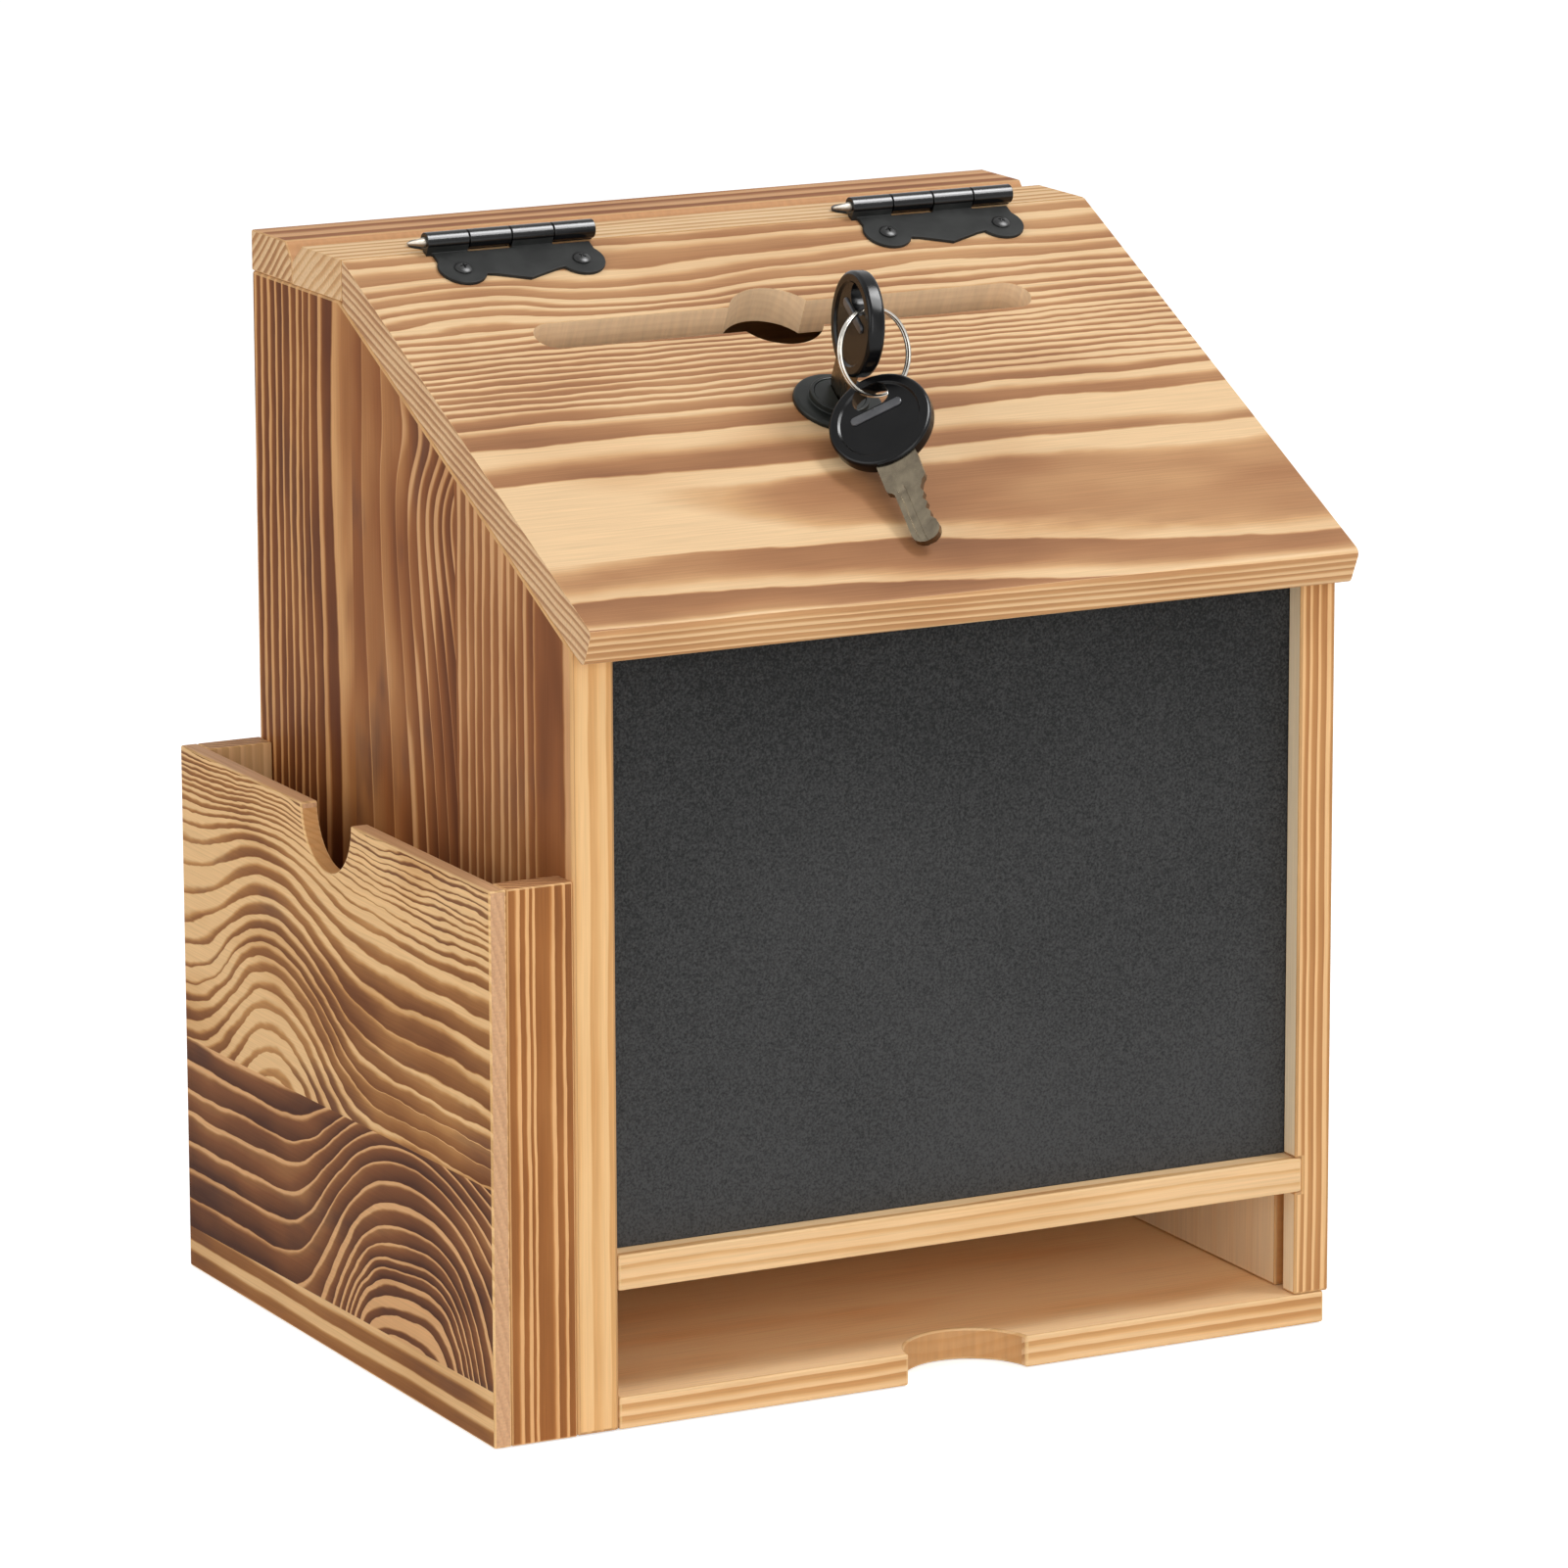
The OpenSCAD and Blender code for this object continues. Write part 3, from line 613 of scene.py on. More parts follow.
class Bench:
    """The hand tools: everything that selects, shapes or finishes a mesh."""

    @staticmethod
    def only(piece: Piece) -> None:
        """Selects one object alone and makes it active."""
        bpy.ops.object.select_all(action="DESELECT")
        piece.select_set(True)
        bpy.context.view_layer.objects.active = piece

    @staticmethod
    @contextmanager
    def editing(piece: Piece) -> Iterator[None]:
        """Keeps one object alone in edit mode for as long as a block lasts."""
        Bench.only(piece)
        bpy.ops.object.mode_set(mode="EDIT")
        yield
        bpy.ops.object.mode_set(mode="OBJECT")

    @staticmethod
    def start(primitive: Callable[..., set[str]], **settings: object) -> Piece:
        """Adds a primitive alone, with its place and size in its mesh.

        Args:
            primitive: The operator that adds it.
            settings: The operator's settings.

        Returns:
            The new object.
        """
        bpy.ops.object.select_all(action="DESELECT")
        primitive(**settings)
        bpy.ops.object.transform_apply(location=True, rotation=True, scale=True)
        return bpy.context.object

    @staticmethod
    def copy_solid(node: str, name: str) -> Piece:
        """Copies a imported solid, merged and with its flat faces whole.

        Args:
            node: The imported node's name.
            name: The new piece's name.

        Returns:
            The new piece.
        """
        piece = bpy.data.objects.new(name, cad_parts[node].data.copy())
        piece.data.materials.clear()
        bpy.context.scene.collection.objects.link(piece)
        with Bench.editing(piece):
            bpy.ops.mesh.select_all(action="SELECT")
            bpy.ops.mesh.remove_doubles(threshold=MERGE * MM)
            bpy.ops.mesh.dissolve_limited(angle_limit=math.radians(FLAT_ANGLE))
        return piece

    @staticmethod
    def pick_faces(piece: Piece, rule: Callable[[bmesh.types.BMFace], bool]) -> None:
        """Selects the faces that a rule accepts, in edit mode.

        Args:
            piece: The object in edit mode.
            rule: Says whether a face is taken.
        """
        mesh = bmesh.from_edit_mesh(piece.data)
        bpy.context.tool_settings.mesh_select_mode = (False, False, True)
        for face in mesh.faces:
            face.select_set(bool(rule(face)))
        mesh.select_flush_mode()
        bmesh.update_edit_mesh(piece.data)

    @staticmethod
    def turn_outwards() -> None:
        """Turns all faces of the mesh in edit mode outwards."""
        bpy.ops.mesh.select_all(action="SELECT")
        bpy.ops.mesh.normals_make_consistent(inside=False)

    @staticmethod
    def apply(piece: Piece, kind: str, **settings: object) -> None:
        """Adds a modifier and applies it.

        Args:
            piece: The object that takes it.
            kind: Blender's name for the modifier.
            settings: The modifier's settings.
        """
        Bench.only(piece)
        modifier = piece.modifiers.new(kind.lower(), kind)
        for name, value in settings.items():
            setattr(modifier, name, value)
        bpy.ops.object.modifier_apply(modifier=modifier.name)

    @staticmethod
    def shade(piece: Piece, angle: float) -> None:
        """Shades a piece smooth over edges that turn less than an angle in degrees."""
        Bench.only(piece)
        bpy.ops.object.shade_smooth_by_angle(angle=math.radians(angle))

    @staticmethod
    def ease(piece: Piece, width: float, segments: int = 2, material: int = -1,
             angle: float = 30.0) -> None:
        """Rounds the sharp edges and shades the piece smooth between them.

        Args:
            piece: The object.
            width: Width of the rounding in millimetres.
            segments: Steps in the rounding.
            material: Slot for the new faces, or -1 to take their neighbour's.
            angle: Edges sharper than this many degrees are rounded.
        """
        Bench.apply(piece, "BEVEL", width=width * MM, segments=segments, limit_method="ANGLE",
                    angle_limit=math.radians(angle), material=material, use_clamp_overlap=True)
        Bench.shade(piece, SMOOTH_ANGLE)
        Bench.apply(piece, "WEIGHTED_NORMAL", keep_sharp=True)

    @staticmethod
    def copy_of(pattern: Piece, name: str, place: Matrix) -> Piece:
        """Copies a pattern piece to its place, with a mesh of its own.

        Args:
            pattern: The piece modelled at the origin.
            name: The copy's name.
            place: Where the copy goes.

        Returns:
            The copy.
        """
        piece = bpy.data.objects.new(name, pattern.data.copy())
        piece.data.transform(place)
        bpy.context.scene.collection.objects.link(piece)
        return piece

    @staticmethod
    def stand_for(piece: Piece, node: str, body: str, slot: str) -> None:
        """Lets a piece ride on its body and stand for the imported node."""
        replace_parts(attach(piece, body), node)

    @staticmethod
    def dress(piece: Piece, material: Material) -> Piece:
        """Gives a piece one material."""
        piece.data.materials.clear()
        piece.data.materials.append(material)
        return piece

    @staticmethod
    def finish_solid(node: str, name: str, body: str, slot: str,
                     finish: HardFinish | ChalkCoating, **easing: float) -> Piece:
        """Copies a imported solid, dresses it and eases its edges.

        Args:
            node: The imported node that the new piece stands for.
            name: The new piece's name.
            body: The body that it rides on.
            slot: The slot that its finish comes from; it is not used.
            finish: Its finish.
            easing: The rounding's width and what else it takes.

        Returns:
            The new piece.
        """
        piece = Bench.dress(Bench.copy_solid(node, name), finish.material())
        Bench.ease(piece, **easing)
        Bench.stand_for(piece, node, body, slot)
        return piece


@dataclass
class Board:
    """A wooden board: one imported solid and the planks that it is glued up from.

    Joints are places across the board, in millimetres, and their tilt is how far they
    climb for each millimetre along it. Looks names planks for sides that differ. A face
    that lies deeper in the outline than the cut margin is the wall of a cut.
    """

    node: str
    planks: tuple[TorchedPine, ...]
    joints: tuple[float, ...] = ()
    joint_tilt: float = 0.0
    arris: float = 0.6
    body: str = "box"
    slot: str = "torched_softwood"
    looks: dict[Side, TorchedPine] = field(default_factory=dict)
    cut_margin: float = 0.9

    def plank_at(self, point: Vector) -> int:
        """Gives the number of the plank that a place on the board belongs to.

        Args:
            point: A place in metres.

        Returns:
            The plank's number.
        """
        lie = self.planks[0].lie
        rest = point / MM - Vector(lie.origin)
        along, across = rest.dot(Vector(lie.along)), rest.dot(Vector(lie.across))
        return sum(across > j + self.joint_tilt * along for j in self.joints)

    def build(self) -> None:
        """Copies the solid, marks its planks, eases its arrises and dresses it."""
        piece = Bench.copy_solid(self.node, self.node + "_wood")
        lie = self.planks[0].lie
        normal = Vector(lie.across) - Vector(lie.along) * self.joint_tilt
        with Bench.editing(piece):
            for joint in self.joints:
                on_joint = Vector(lie.origin) + Vector(lie.across) * joint
                bpy.ops.mesh.select_all(action="SELECT")
                bpy.ops.mesh.bisect(plane_co=on_joint * MM, plane_no=normal.normalized())
        to_board = lie.turn.inverted()
        reach = list(zip(*(to_board @ vertex.co for vertex in piece.data.vertices)))[:2]
        inside = [(min(r) + self.cut_margin * MM, max(r) - self.cut_margin * MM) for r in reach]
        slots: dict[str, int] = {}
        for polygon in piece.data.polygons:
            side = lie.side_of(polygon.normal)
            middle = to_board @ polygon.center
            if side in (Side.EDGE, Side.END) and all(
                    low < c < high for c, (low, high) in zip(middle, inside)):
                side = Side.CUT
            plank = self.looks.get(side, self.planks[self.plank_at(polygon.center)])
            material = plank.material(side)
            if material.name not in slots:
                slots[material.name] = len(piece.data.materials)
                piece.data.materials.append(material)
            polygon.material_index = slots[material.name]
        piece.data.materials.append(self.planks[-1].material(Side.ARRIS))
        Bench.ease(piece, self.arris, material=len(piece.data.materials) - 1)
        Bench.stand_for(piece, self.node, self.body, self.slot)


def even_rings(start: float, stop: float, spacing: float) -> tuple[tuple[float, float], ...]:
    """Gives the two end marks of rings at even spacing between two places across a board."""
    return ((start, 0.0), (stop, (stop - start) / spacing))


@dataclass
class Box:
    """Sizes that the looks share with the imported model, in millimetres."""

    width: float = 200.0
    depth: float = 173.5
    height: float = 255.4
    corner_x: float = -89.5
    corner_y: float = -81.7
    crest: float = 39.7
    pocket: float = 21.0
    shelf_top: float = 41.5
    base_top: float = 7.7

    def lies(self) -> dict[str, Lie]:
        """Gives how each kind of board lies."""
        left, front, top = self.corner_x, self.corner_y, self.height
        right, back, out = left + self.width, front + self.depth, left - self.pocket
        return {
            "lid": Lie((left, self.crest, top), (1, 0, 0),
                       (0, -math.cos(LID_SLOPE), -math.sin(LID_SLOPE))),
            "pocket": Lie((out, front, 0), (0, 1, 0), (0, 0, 1)),
            "left": Lie((left, front, top), (0, 0, -1), (0, 1, 0)),
            "right": Lie((right, front, 0), (0, 0, 1), (0, 1, 0)),
            "back": Lie((left, back, 0), (1, 0, 0), (0, 0, 1)),
            "top": Lie((left, back, top), (1, 0, 0), (0, -1, 0)),
            "shelf": Lie((left, back, self.shelf_top), (1, 0, 0), (0, -1, 0)),
            "base": Lie((left, back, self.base_top), (1, 0, 0), (0, -1, 0)),
            "front_strip": Lie((out, front, 0), (0, 0, 1), (1, 0, 0)),
            "back_strip": Lie((left, back, 0), (0, 0, 1), (-1, 0, 0)),
        }


# Boards that had the flame for long, a little less long, and hardly at all, and the paler
# of the pocket's boards
BROWN = Torch("#d09a62", "#a86e3d", "#7f4920", "#5a2b0f", "#472411")
RUDDY = Torch("#d29e6c", "#b07846", "#8d542b", "#653516", "#56382c")
PALE = Torch("#f0cb9b", "#dfb179", "#c08a55", "#92623a", "#7a5030")
POCKET_WARM = Torch("#e9be87", "#c69156", "#9a6535", "#6d3e1c", "#593629")


@dataclass
class Carcass:
    """The fixed box: panels, shelf, chalkboard, batten and the two-board top."""

    box: Box

    def left_side(self) -> Board:
        """Gives the left panel: three upright planks and its bright front edge."""
        lie = self.box.lies()["left"]
        front = TorchedPine(
            "left_front", lie, ((-6, -0.4), (3, 0), (19, 1), (23, 1.7), (27, 2.6), (66, 11.6)),
            RUDDY, swells=(Swell(80, 12, 200, 8, burn=0.3), Swell(40, 40, 30, 26, burn=-0.2)),
            drift=1.4, drift_long=130, ripple=0.5, burn=0.74, burn_soft=0.14, strength=0.72,
            cloud=0.5, smoke=0.3, grain_seed=4.0)
        middle = TorchedPine(
            "left_middle", lie, ((10, -1.5), (30, 1.4), (50, 4.3), (66, 6.8), (80, 8.8), (92, 10),
                                 (130, 12.6)), RUDDY,
            swells=(Swell(48.6, 53, 42, 40, lift=29, steepness=0.5),
                    Swell(36, 60, 11, 30, lift=-12, steepness=1.0),
                    Swell(60, 106, 220, 19, burn=0.5, spare=0.32, steepness=3.0),
                    Swell(116, 66, 38, 12, burn=0.6), Swell(80, 89, 26, 8, burn=0.35),
                    Swell(140, 104, 30, 14, burn=0.2)),
            drift=1.4, drift_long=120, burn=0.64, burn_soft=0.16, strength=0.9, fade=0.4,
            cloud=0.5, smoke=0.6, grain_seed=9.0)
        rear = TorchedPine(
            "left_rear", lie, ((110, 0.82), (125, 1.0), (134.2, 2), (140, 3), (144.7, 4),
                               (148.3, 5), (152, 6), (156.5, 7), (161, 8), (166, 9.2), (180, 13)),
            BROWN, swells=(Swell(48, 124, 34, 16, lift=3.6, steepness=1.0),
                           Swell(70, 119, 200, 6, spare=0.25), Swell(80, 168, 160, 12, burn=-0.12)),
            drift=2.4, drift_long=90, ripple=0.55, burn=0.76, burn_soft=0.16, strength=0.95,
            fade=0.3, cloud=0.4, smoke=0.5, grain_seed=14.0)
        edge = TorchedPine(
            "left_front_edge", lie, even_rings(-10, 190, 9.0),
            Torch("#f0c68e", "#e6b77c", "#cc955a", "#a97240", "#a06c3c"),
            swells=(Swell(-4, 0, 20, 60, burn=0.4),), depth_rings=0.22, burn=0.5, strength=0.7,
            smoke=0.0)
        return Board("left_side_panel", (front, middle, rear), (60.5, 117.2), arris=0.8,
                     looks={Side.EDGE: edge})

    def right_side(self) -> Board:
        """Gives the right panel: two planks, its front edge and its clean inner face."""
        lie = self.box.lies()["right"]
        front = TorchedPine(
            "right", lie, ((-6, 0), (18, 5), (34, 9.5), (56, 14.5), (78, 18.4), (100, 25)), RUDDY,
            swells=(Swell(96, 56, 60, 24, lift=20, steepness=1.2), Swell(30, 20, 60, 12, burn=0.2)),
            drift=2.4, drift_long=110, depth_rings=0.45, burn=0.68, burn_soft=0.16, strength=0.84,
            fade=0.5, cloud=0.45, smoke=0.4, grain_seed=20.0)
        rear = TorchedPine(
            "right_rear", lie, even_rings(84, 190, 4.6), BROWN, drift=2.2, drift_long=130,
            depth_rings=0.4, burn=0.62, burn_soft=0.14, strength=0.84, fade=0.4, cloud=0.45,
            smoke=0.4, grain_seed=22.0)
        edge = TorchedPine(
            "right_front_edge", lie, even_rings(-10, 190, 9.0),
            Torch("#f0c48e", "#d39c63", "#a87040", "#835029", "#704628"),
            depth_rings=0.42, burn=0.62, burn_soft=0.12, strength=0.85, smoke=0.1)
        inner = TorchedPine(
            "right_inner", lie, even_rings(-10, 190, 9.0),
            Torch("#fff0d2", "#fae2bc", "#e6c69c", "#caa87e", "#a67f5a"),
            drift=3.0, depth_rings=0.3, burn=0.4, burn_soft=0.3, strength=0.5, smoke=0.0,
            grain_seed=23.0)
        return Board("right_side_panel", (front, rear), (91.5,),
                     looks={Side.EDGE: edge, Side.INNER: inner})

    def level_boards(self) -> list[Board]:
        """Gives the back and the boards that lie level, with their grain."""
        lies = self.box.lies()
        back = TorchedPine(
            "back", lies["back"], even_rings(-10, 260, 8.0), BROWN,
            swells=(Swell(70, 90, 70, 34, lift=26), Swell(150, 190, 60, 24, lift=16)),
            drift=3.5, burn=0.66, strength=0.85, smoke=0.4, grain_seed=27.0)
        rear_top = TorchedPine(
            "top_rear", lies["top"], even_rings(-4, 60, 9.0), RUDDY, drift=2.6, drift_long=110,
            burn=0.6, burn_soft=0.3, crisp=0.2, strength=0.72, fade=0.2, smoke=0.25,
            grain_seed=33.0)
        rear_end = TorchedPine(
            "top_rear_end", lies["top"], even_rings(-4, 60, 3.6), PALE, drift=1.4, burn=0.5,
            burn_soft=0.2, strength=0.95, fade=0.2, smoke=0.05, grain_seed=34.0)
        front_top = TorchedPine(
            "top_front", lies["top"], even_rings(20, 60, 4.5), PALE, drift=1.8, burn=0.45,
            strength=0.6, smoke=0.05, grain_seed=38.0)
        shelf = TorchedPine(
            "shelf", lies["shelf"], even_rings(-4, 180, 7.0), PALE, depth_rings=0.3, drift=1.6,
            ripple=0.6, burn=0.4, burn_soft=0.2, strength=0.55, fade=0.7, smoke=0.0,
            grain_seed=42.0)
        base = TorchedPine(
            "base", lies["base"], even_rings(-4, 180, 6.0), PALE, depth_rings=0.34, drift=1.6,
            ripple=0.6, burn=0.56, strength=0.78, smoke=0.1, grain_seed=47.0)
        # The tray's face burns less than the rest of the base, which is the wood's own; its palette
        # is also lifted paler as painted light, for the light that reaches in under the shelf
        tray = TorchedPine(
            "tray", lies["base"], even_rings(-4, 180, 22.0),
            Torch("#ffdcac", "#f8ca94", "#e6ae78", "#c48c56", "#a87444"), drift=5, drift_long=90,
            burn=0.3, burn_soft=0.45, crisp=0.4, strength=0.4, cloud=0.4, smoke=0.0,
            grain_seed=49.0)
        rail = TorchedPine(
            "lock_rail", lies["lid"], even_rings(60, 160, 3.0), PALE, burn=0.35, strength=0.35,
            smoke=0.0, grain_seed=51.0)
        return [
            Board("back_panel", (back,)),
            Board("divider_shelf", (shelf,)),
            Board("base_board", (base,), looks={Side.FACE: tray}),
            Board("lock_rail", (rail,), slot="bare_softwood"),
            Board("top_front_board", (front_top,), arris=0.35),
            Board("top_rear_board", (rear_top,), arris=0.35, looks={Side.END: rear_end}),
        ]

    def build(self) -> None:
        """Builds the boards and paints the chalkboard."""
        for board in (self.left_side(), self.right_side(), *self.level_boards()):
            board.build()
        Bench.finish_solid("chalkboard_panel", "chalkboard_painted", "box", "chalkboard",
                           ChalkCoating(), width=0.3)


@dataclass
class CardPocket:
    """The card pocket on the left side."""

    box: Box

    def outer_panel(self) -> Board:
        """Gives the outer panel: a narrow foot, a dark plank and a pale one, each arched."""
        skin = self.box.lies()["pocket"]
        lower = TorchedPine(
            "pocket_lower", skin,
            ((-32, -3), (-27.7, -2), (-23.4, -1), (-20, 0), (-17.2, 1), (-14.5, 2), (-10.7, 3),
             (-6, 4), (1, 5), (9, 6), (17.5, 7), (25, 8), (32.1, 9), (39.3, 10), (45, 11),
             (52, 12), (66, 14)),
            Torch("#dba873", "#ae7845", "#7b4925", "#45220f", "#371d15"),
            swells=(Swell(46, 26, 45, 48, lift=46, steepness=1.6),
                    Swell(-12, 46, 40, 24, lift=13, steepness=1.0),
                    Swell(46, 16, 22, 10, burn=-0.4), Swell(80, 22, 14, 12, burn=-0.2),
                    Swell(110, 40, 40, 30, burn=0.06)),
            drift=1.4, drift_long=36, ripple=0.7, burn=0.82, burn_soft=0.09, burn_vary=0.2,
            crisp=0.05, strength=0.98, fade=0.45, cloud=0.5, smoke=0.6, grain_seed=60.0)
        upper = TorchedPine(
            "pocket_upper", skin,
            ((32, -5.4), (50, -0.6), (58, 1.2), (63, 2.3), (68, 3.4), (72.4, 4.4), (77, 5.4),
             (83.6, 6.6), (90, 7.5), (97, 8.5), (104, 9.5), (108, 10.2), (112, 11.2),
             (116, 12.6), (120, 14.6), (124, 17), (128, 19.4), (134, 23)),
            POCKET_WARM, swells=(
                Swell(119, 80, 33, 38, lift=23, steepness=1.25), Swell(55, 122, 60, 14, burn=-0.3),
                Swell(166, 90, 26, 26, burn=-0.4, spare=0.1), Swell(60, 82, 52, 13, burn=0.25),
                Swell(120, 74, 26, 16, burn=-0.16, spare=0.22), Swell(24, 66, 50, 9, burn=0.45)),
            drift=2.4, drift_long=40, ripple=1.1, burn=0.6, burn_soft=0.18, strength=0.88,
            fade=0.45, cloud=0.5, smoke=0.55, grain_seed=66.0)
        foot = TorchedPine(
            "pocket_foot", skin, ((-6, -1), (0, 0), (6.5, 1), (14, 2), (20, 3)), POCKET_WARM,
            drift=0.7, drift_long=80, burn=0.6, burn_soft=0.1, strength=0.78, fade=0.2, smoke=0.4,
            grain_seed=71.0)
        edge = TorchedPine(
            "pocket_skin_edge", skin, even_rings(-20, 150, 7.0),
            Torch("#dcae84", "#cfa078", "#b98c66", "#a07650", "#8f6a48"),
            depth_rings=0.5, burn=0.5, burn_soft=0.3, strength=0.4, smoke=0.0, grain_seed=90.0)
        return Board("pocket_outer_panel", (foot, lower, upper), (13.4, 61.1), -0.019, arris=0.45,
                     looks={Side.EDGE: edge, Side.END: edge})

    def strips(self) -> list[Board]:
        """Gives the front strip, the back strip and the floor."""
        lies = self.box.lies()
        front = TorchedPine(
            "pocket_front", lies["front_strip"],
            ((-8, 0), (-2, 1), (1.5, 2), (3.4, 3), (7.6, 4), (10, 5), (11.4, 6), (16.4, 7),
             (19, 8), (30, 12)),
            Torch("#e3ae76", "#c0844c", "#9c6232", "#764522", "#5a351c"),
            drift=0.7, drift_long=160, drift_wide=40, depth_rings=0.4, burn=0.7, burn_soft=0.12,
            strength=0.8, fade=0.2, smoke=0.1, grain_seed=76.0)
        back = TorchedPine(
            "pocket_back", lies["back_strip"], even_rings(-8, 30, 3.0), POCKET_WARM,
            drift=0.8, drift_long=160, drift_wide=40, burn=0.7, strength=0.8, grain_seed=82.0)
        floor = TorchedPine(
            "pocket_floor", lies["pocket"], even_rings(-8, 30, 3.0), POCKET_WARM, burn=0.4,
            strength=0.4, grain_seed=86.0)
        return [Board("pocket_front_strip", (front,), arris=0.4),
                Board("pocket_back_strip", (back,), arris=0.4),
                Board("pocket_floor", (floor,), slot="bare_softwood")]

    def build(self) -> None:
        """Builds the pocket's four boards."""
        for board in (self.outer_panel(), *self.strips()):
            board.build()


@dataclass
class Lid:
    """The sloping lid board with its card slot."""

    box: Box

    def build(self) -> None:
        """Builds the lid board."""
        lie = self.box.lies()["lid"]
        torch = Torch("#ebc799", "#d2a372", "#ab784f", "#7d4e30", "#6a4430")
        face = TorchedPine(
            "lid", lie,
            ((-4, 24), (4, 22), (11.5, 21), (17.5, 20), (22.5, 19), (26.5, 18), (30, 17),
             (33.5, 16), (36.5, 15), (39.5, 14), (42.5, 13), (44.6, 12), (47, 11), (49.3, 10),
             (51.7, 9), (54.3, 8), (57.1, 7), (59.8, 6), (62.5, 5), (65.2, 4), (70.4, 3),
             (78.3, 2), (84, 1.65), (93, 1), (97, 0.72), (100, 0.36), (108, 0.12), (115, 0.36),
             (119, 0.76), (121.5, 1), (135.5, 2), (145.7, 3), (152, 4)),
            torch, swells=(
                Swell(200, 142, 105, 26, lift=17, steepness=1.0),
                Swell(-8, 110, 76, 16, burn=-0.7), Swell(190, 112, 70, 18, burn=-0.12),
                Swell(186, 70, 50, 24, burn=-0.12), Swell(60, 136, 150, 13, burn=0.32),
                Swell(205, 118, 90, 22, spare=0.13), Swell(44, 72, 90, 24, burn=0.16),
                Swell(100, 10, 160, 17, burn=0.2, spare=0.14), Swell(70, 20, 26, 9, lift=2.5),
                Swell(20, 22, 22, 10, lift=-3), Swell(150, 14, 30, 9, lift=-2)),
            drift=1.6, drift_long=55, ripple=0.7, depth_rings=0.5, burn=0.54, burn_soft=0.2,
            strength=0.76, smoke=0.1, grain_seed=100.0, cut="#ffdfb8")
        end = TorchedPine(
            "lid_end", lie, even_rings(-10, 170, 15.0), torch, drift=5.0, drift_wide=30.0,
            ripple=0.9, depth_rings=0.5, burn=0.5, burn_soft=0.2, strength=0.8, grain_seed=104.0)
        Board("lid_board", (face,), body="lid", looks={Side.END: end}).build()


@dataclass
class HingeScrew:
    """A low domed screw with a cross recess, 5 mm in the wood."""

    head: float = 4.4
    rim: float = 0.35
    height: float = 1.0
    shank: float = 2.2
    length: float = 5.0
    recess: float = 2.5
    recess_width: float = 0.6
    recess_depth: float = 0.55
    recess_foot: float = 0.55
    edge: float = 0.07
    # How far in and how far up each step of the dome goes, as shares of head and dome
    dome_steps: tuple[tuple[float, float], ...] = ((0.1, 0.5), (0.15, 0.33), (0.15, 0.17))

    def model(self) -> Piece:
        """Models one screw at the origin, with its head's underside on z = 0.

        Returns:
            The pattern screw that the others are copied from.
        """
        screw = Bench.start(bpy.ops.mesh.primitive_cylinder_add, vertices=32,
                            radius=self.head / 2 * MM, depth=self.rim * MM,
                            location=(0, 0, self.rim / 2 * MM))
        dome = self.height - self.rim
        with Bench.editing(screw):
            Bench.pick_faces(screw, lambda face: face.normal.z > PICK_FACING)
            for share, rise in self.dome_steps:
                bpy.ops.mesh.inset(thickness=share * self.head * MM, depth=rise * dome * MM)
            Bench.pick_faces(screw, lambda face: face.normal.z < -PICK_FACING)
            bpy.ops.mesh.inset(thickness=(self.head - self.shank) / 2 * MM)
            bpy.ops.mesh.extrude_region_move(
                TRANSFORM_OT_translate={"value": (0, 0, -self.length * MM)})
        for turn in (0.0, math.pi / 2):
            cutter = self.cutter(turn)
            Bench.apply(screw, "BOOLEAN", operation="DIFFERENCE", object=cutter, solver="EXACT")
            bpy.data.objects.remove(cutter)
        Bench.ease(screw, self.edge, 1)
        return screw

    def cutter(self, turn: float) -> Piece:
        """Makes one arm of the cross, narrower at its foot.

        Args:
            turn: How far it is turned about the screw's axis.

        Returns:
            The cutter.
        """
        sizes = (self.recess, self.recess_width, 2 * self.recess_depth)
        cutter = Bench.start(bpy.ops.mesh.primitive_cube_add, size=1.0,
                             location=(0, 0, self.height * MM), rotation=(0, 0, turn),
                             scale=[s * MM for s in sizes])
        with Bench.editing(cutter):
            Bench.pick_faces(cutter, lambda face: face.normal.z < -PICK_FACING)
            bpy.ops.transform.resize(value=(self.recess_foot, self.recess_foot, 1.0),
                                     center_override=(0, 0, 0))
        return cutter


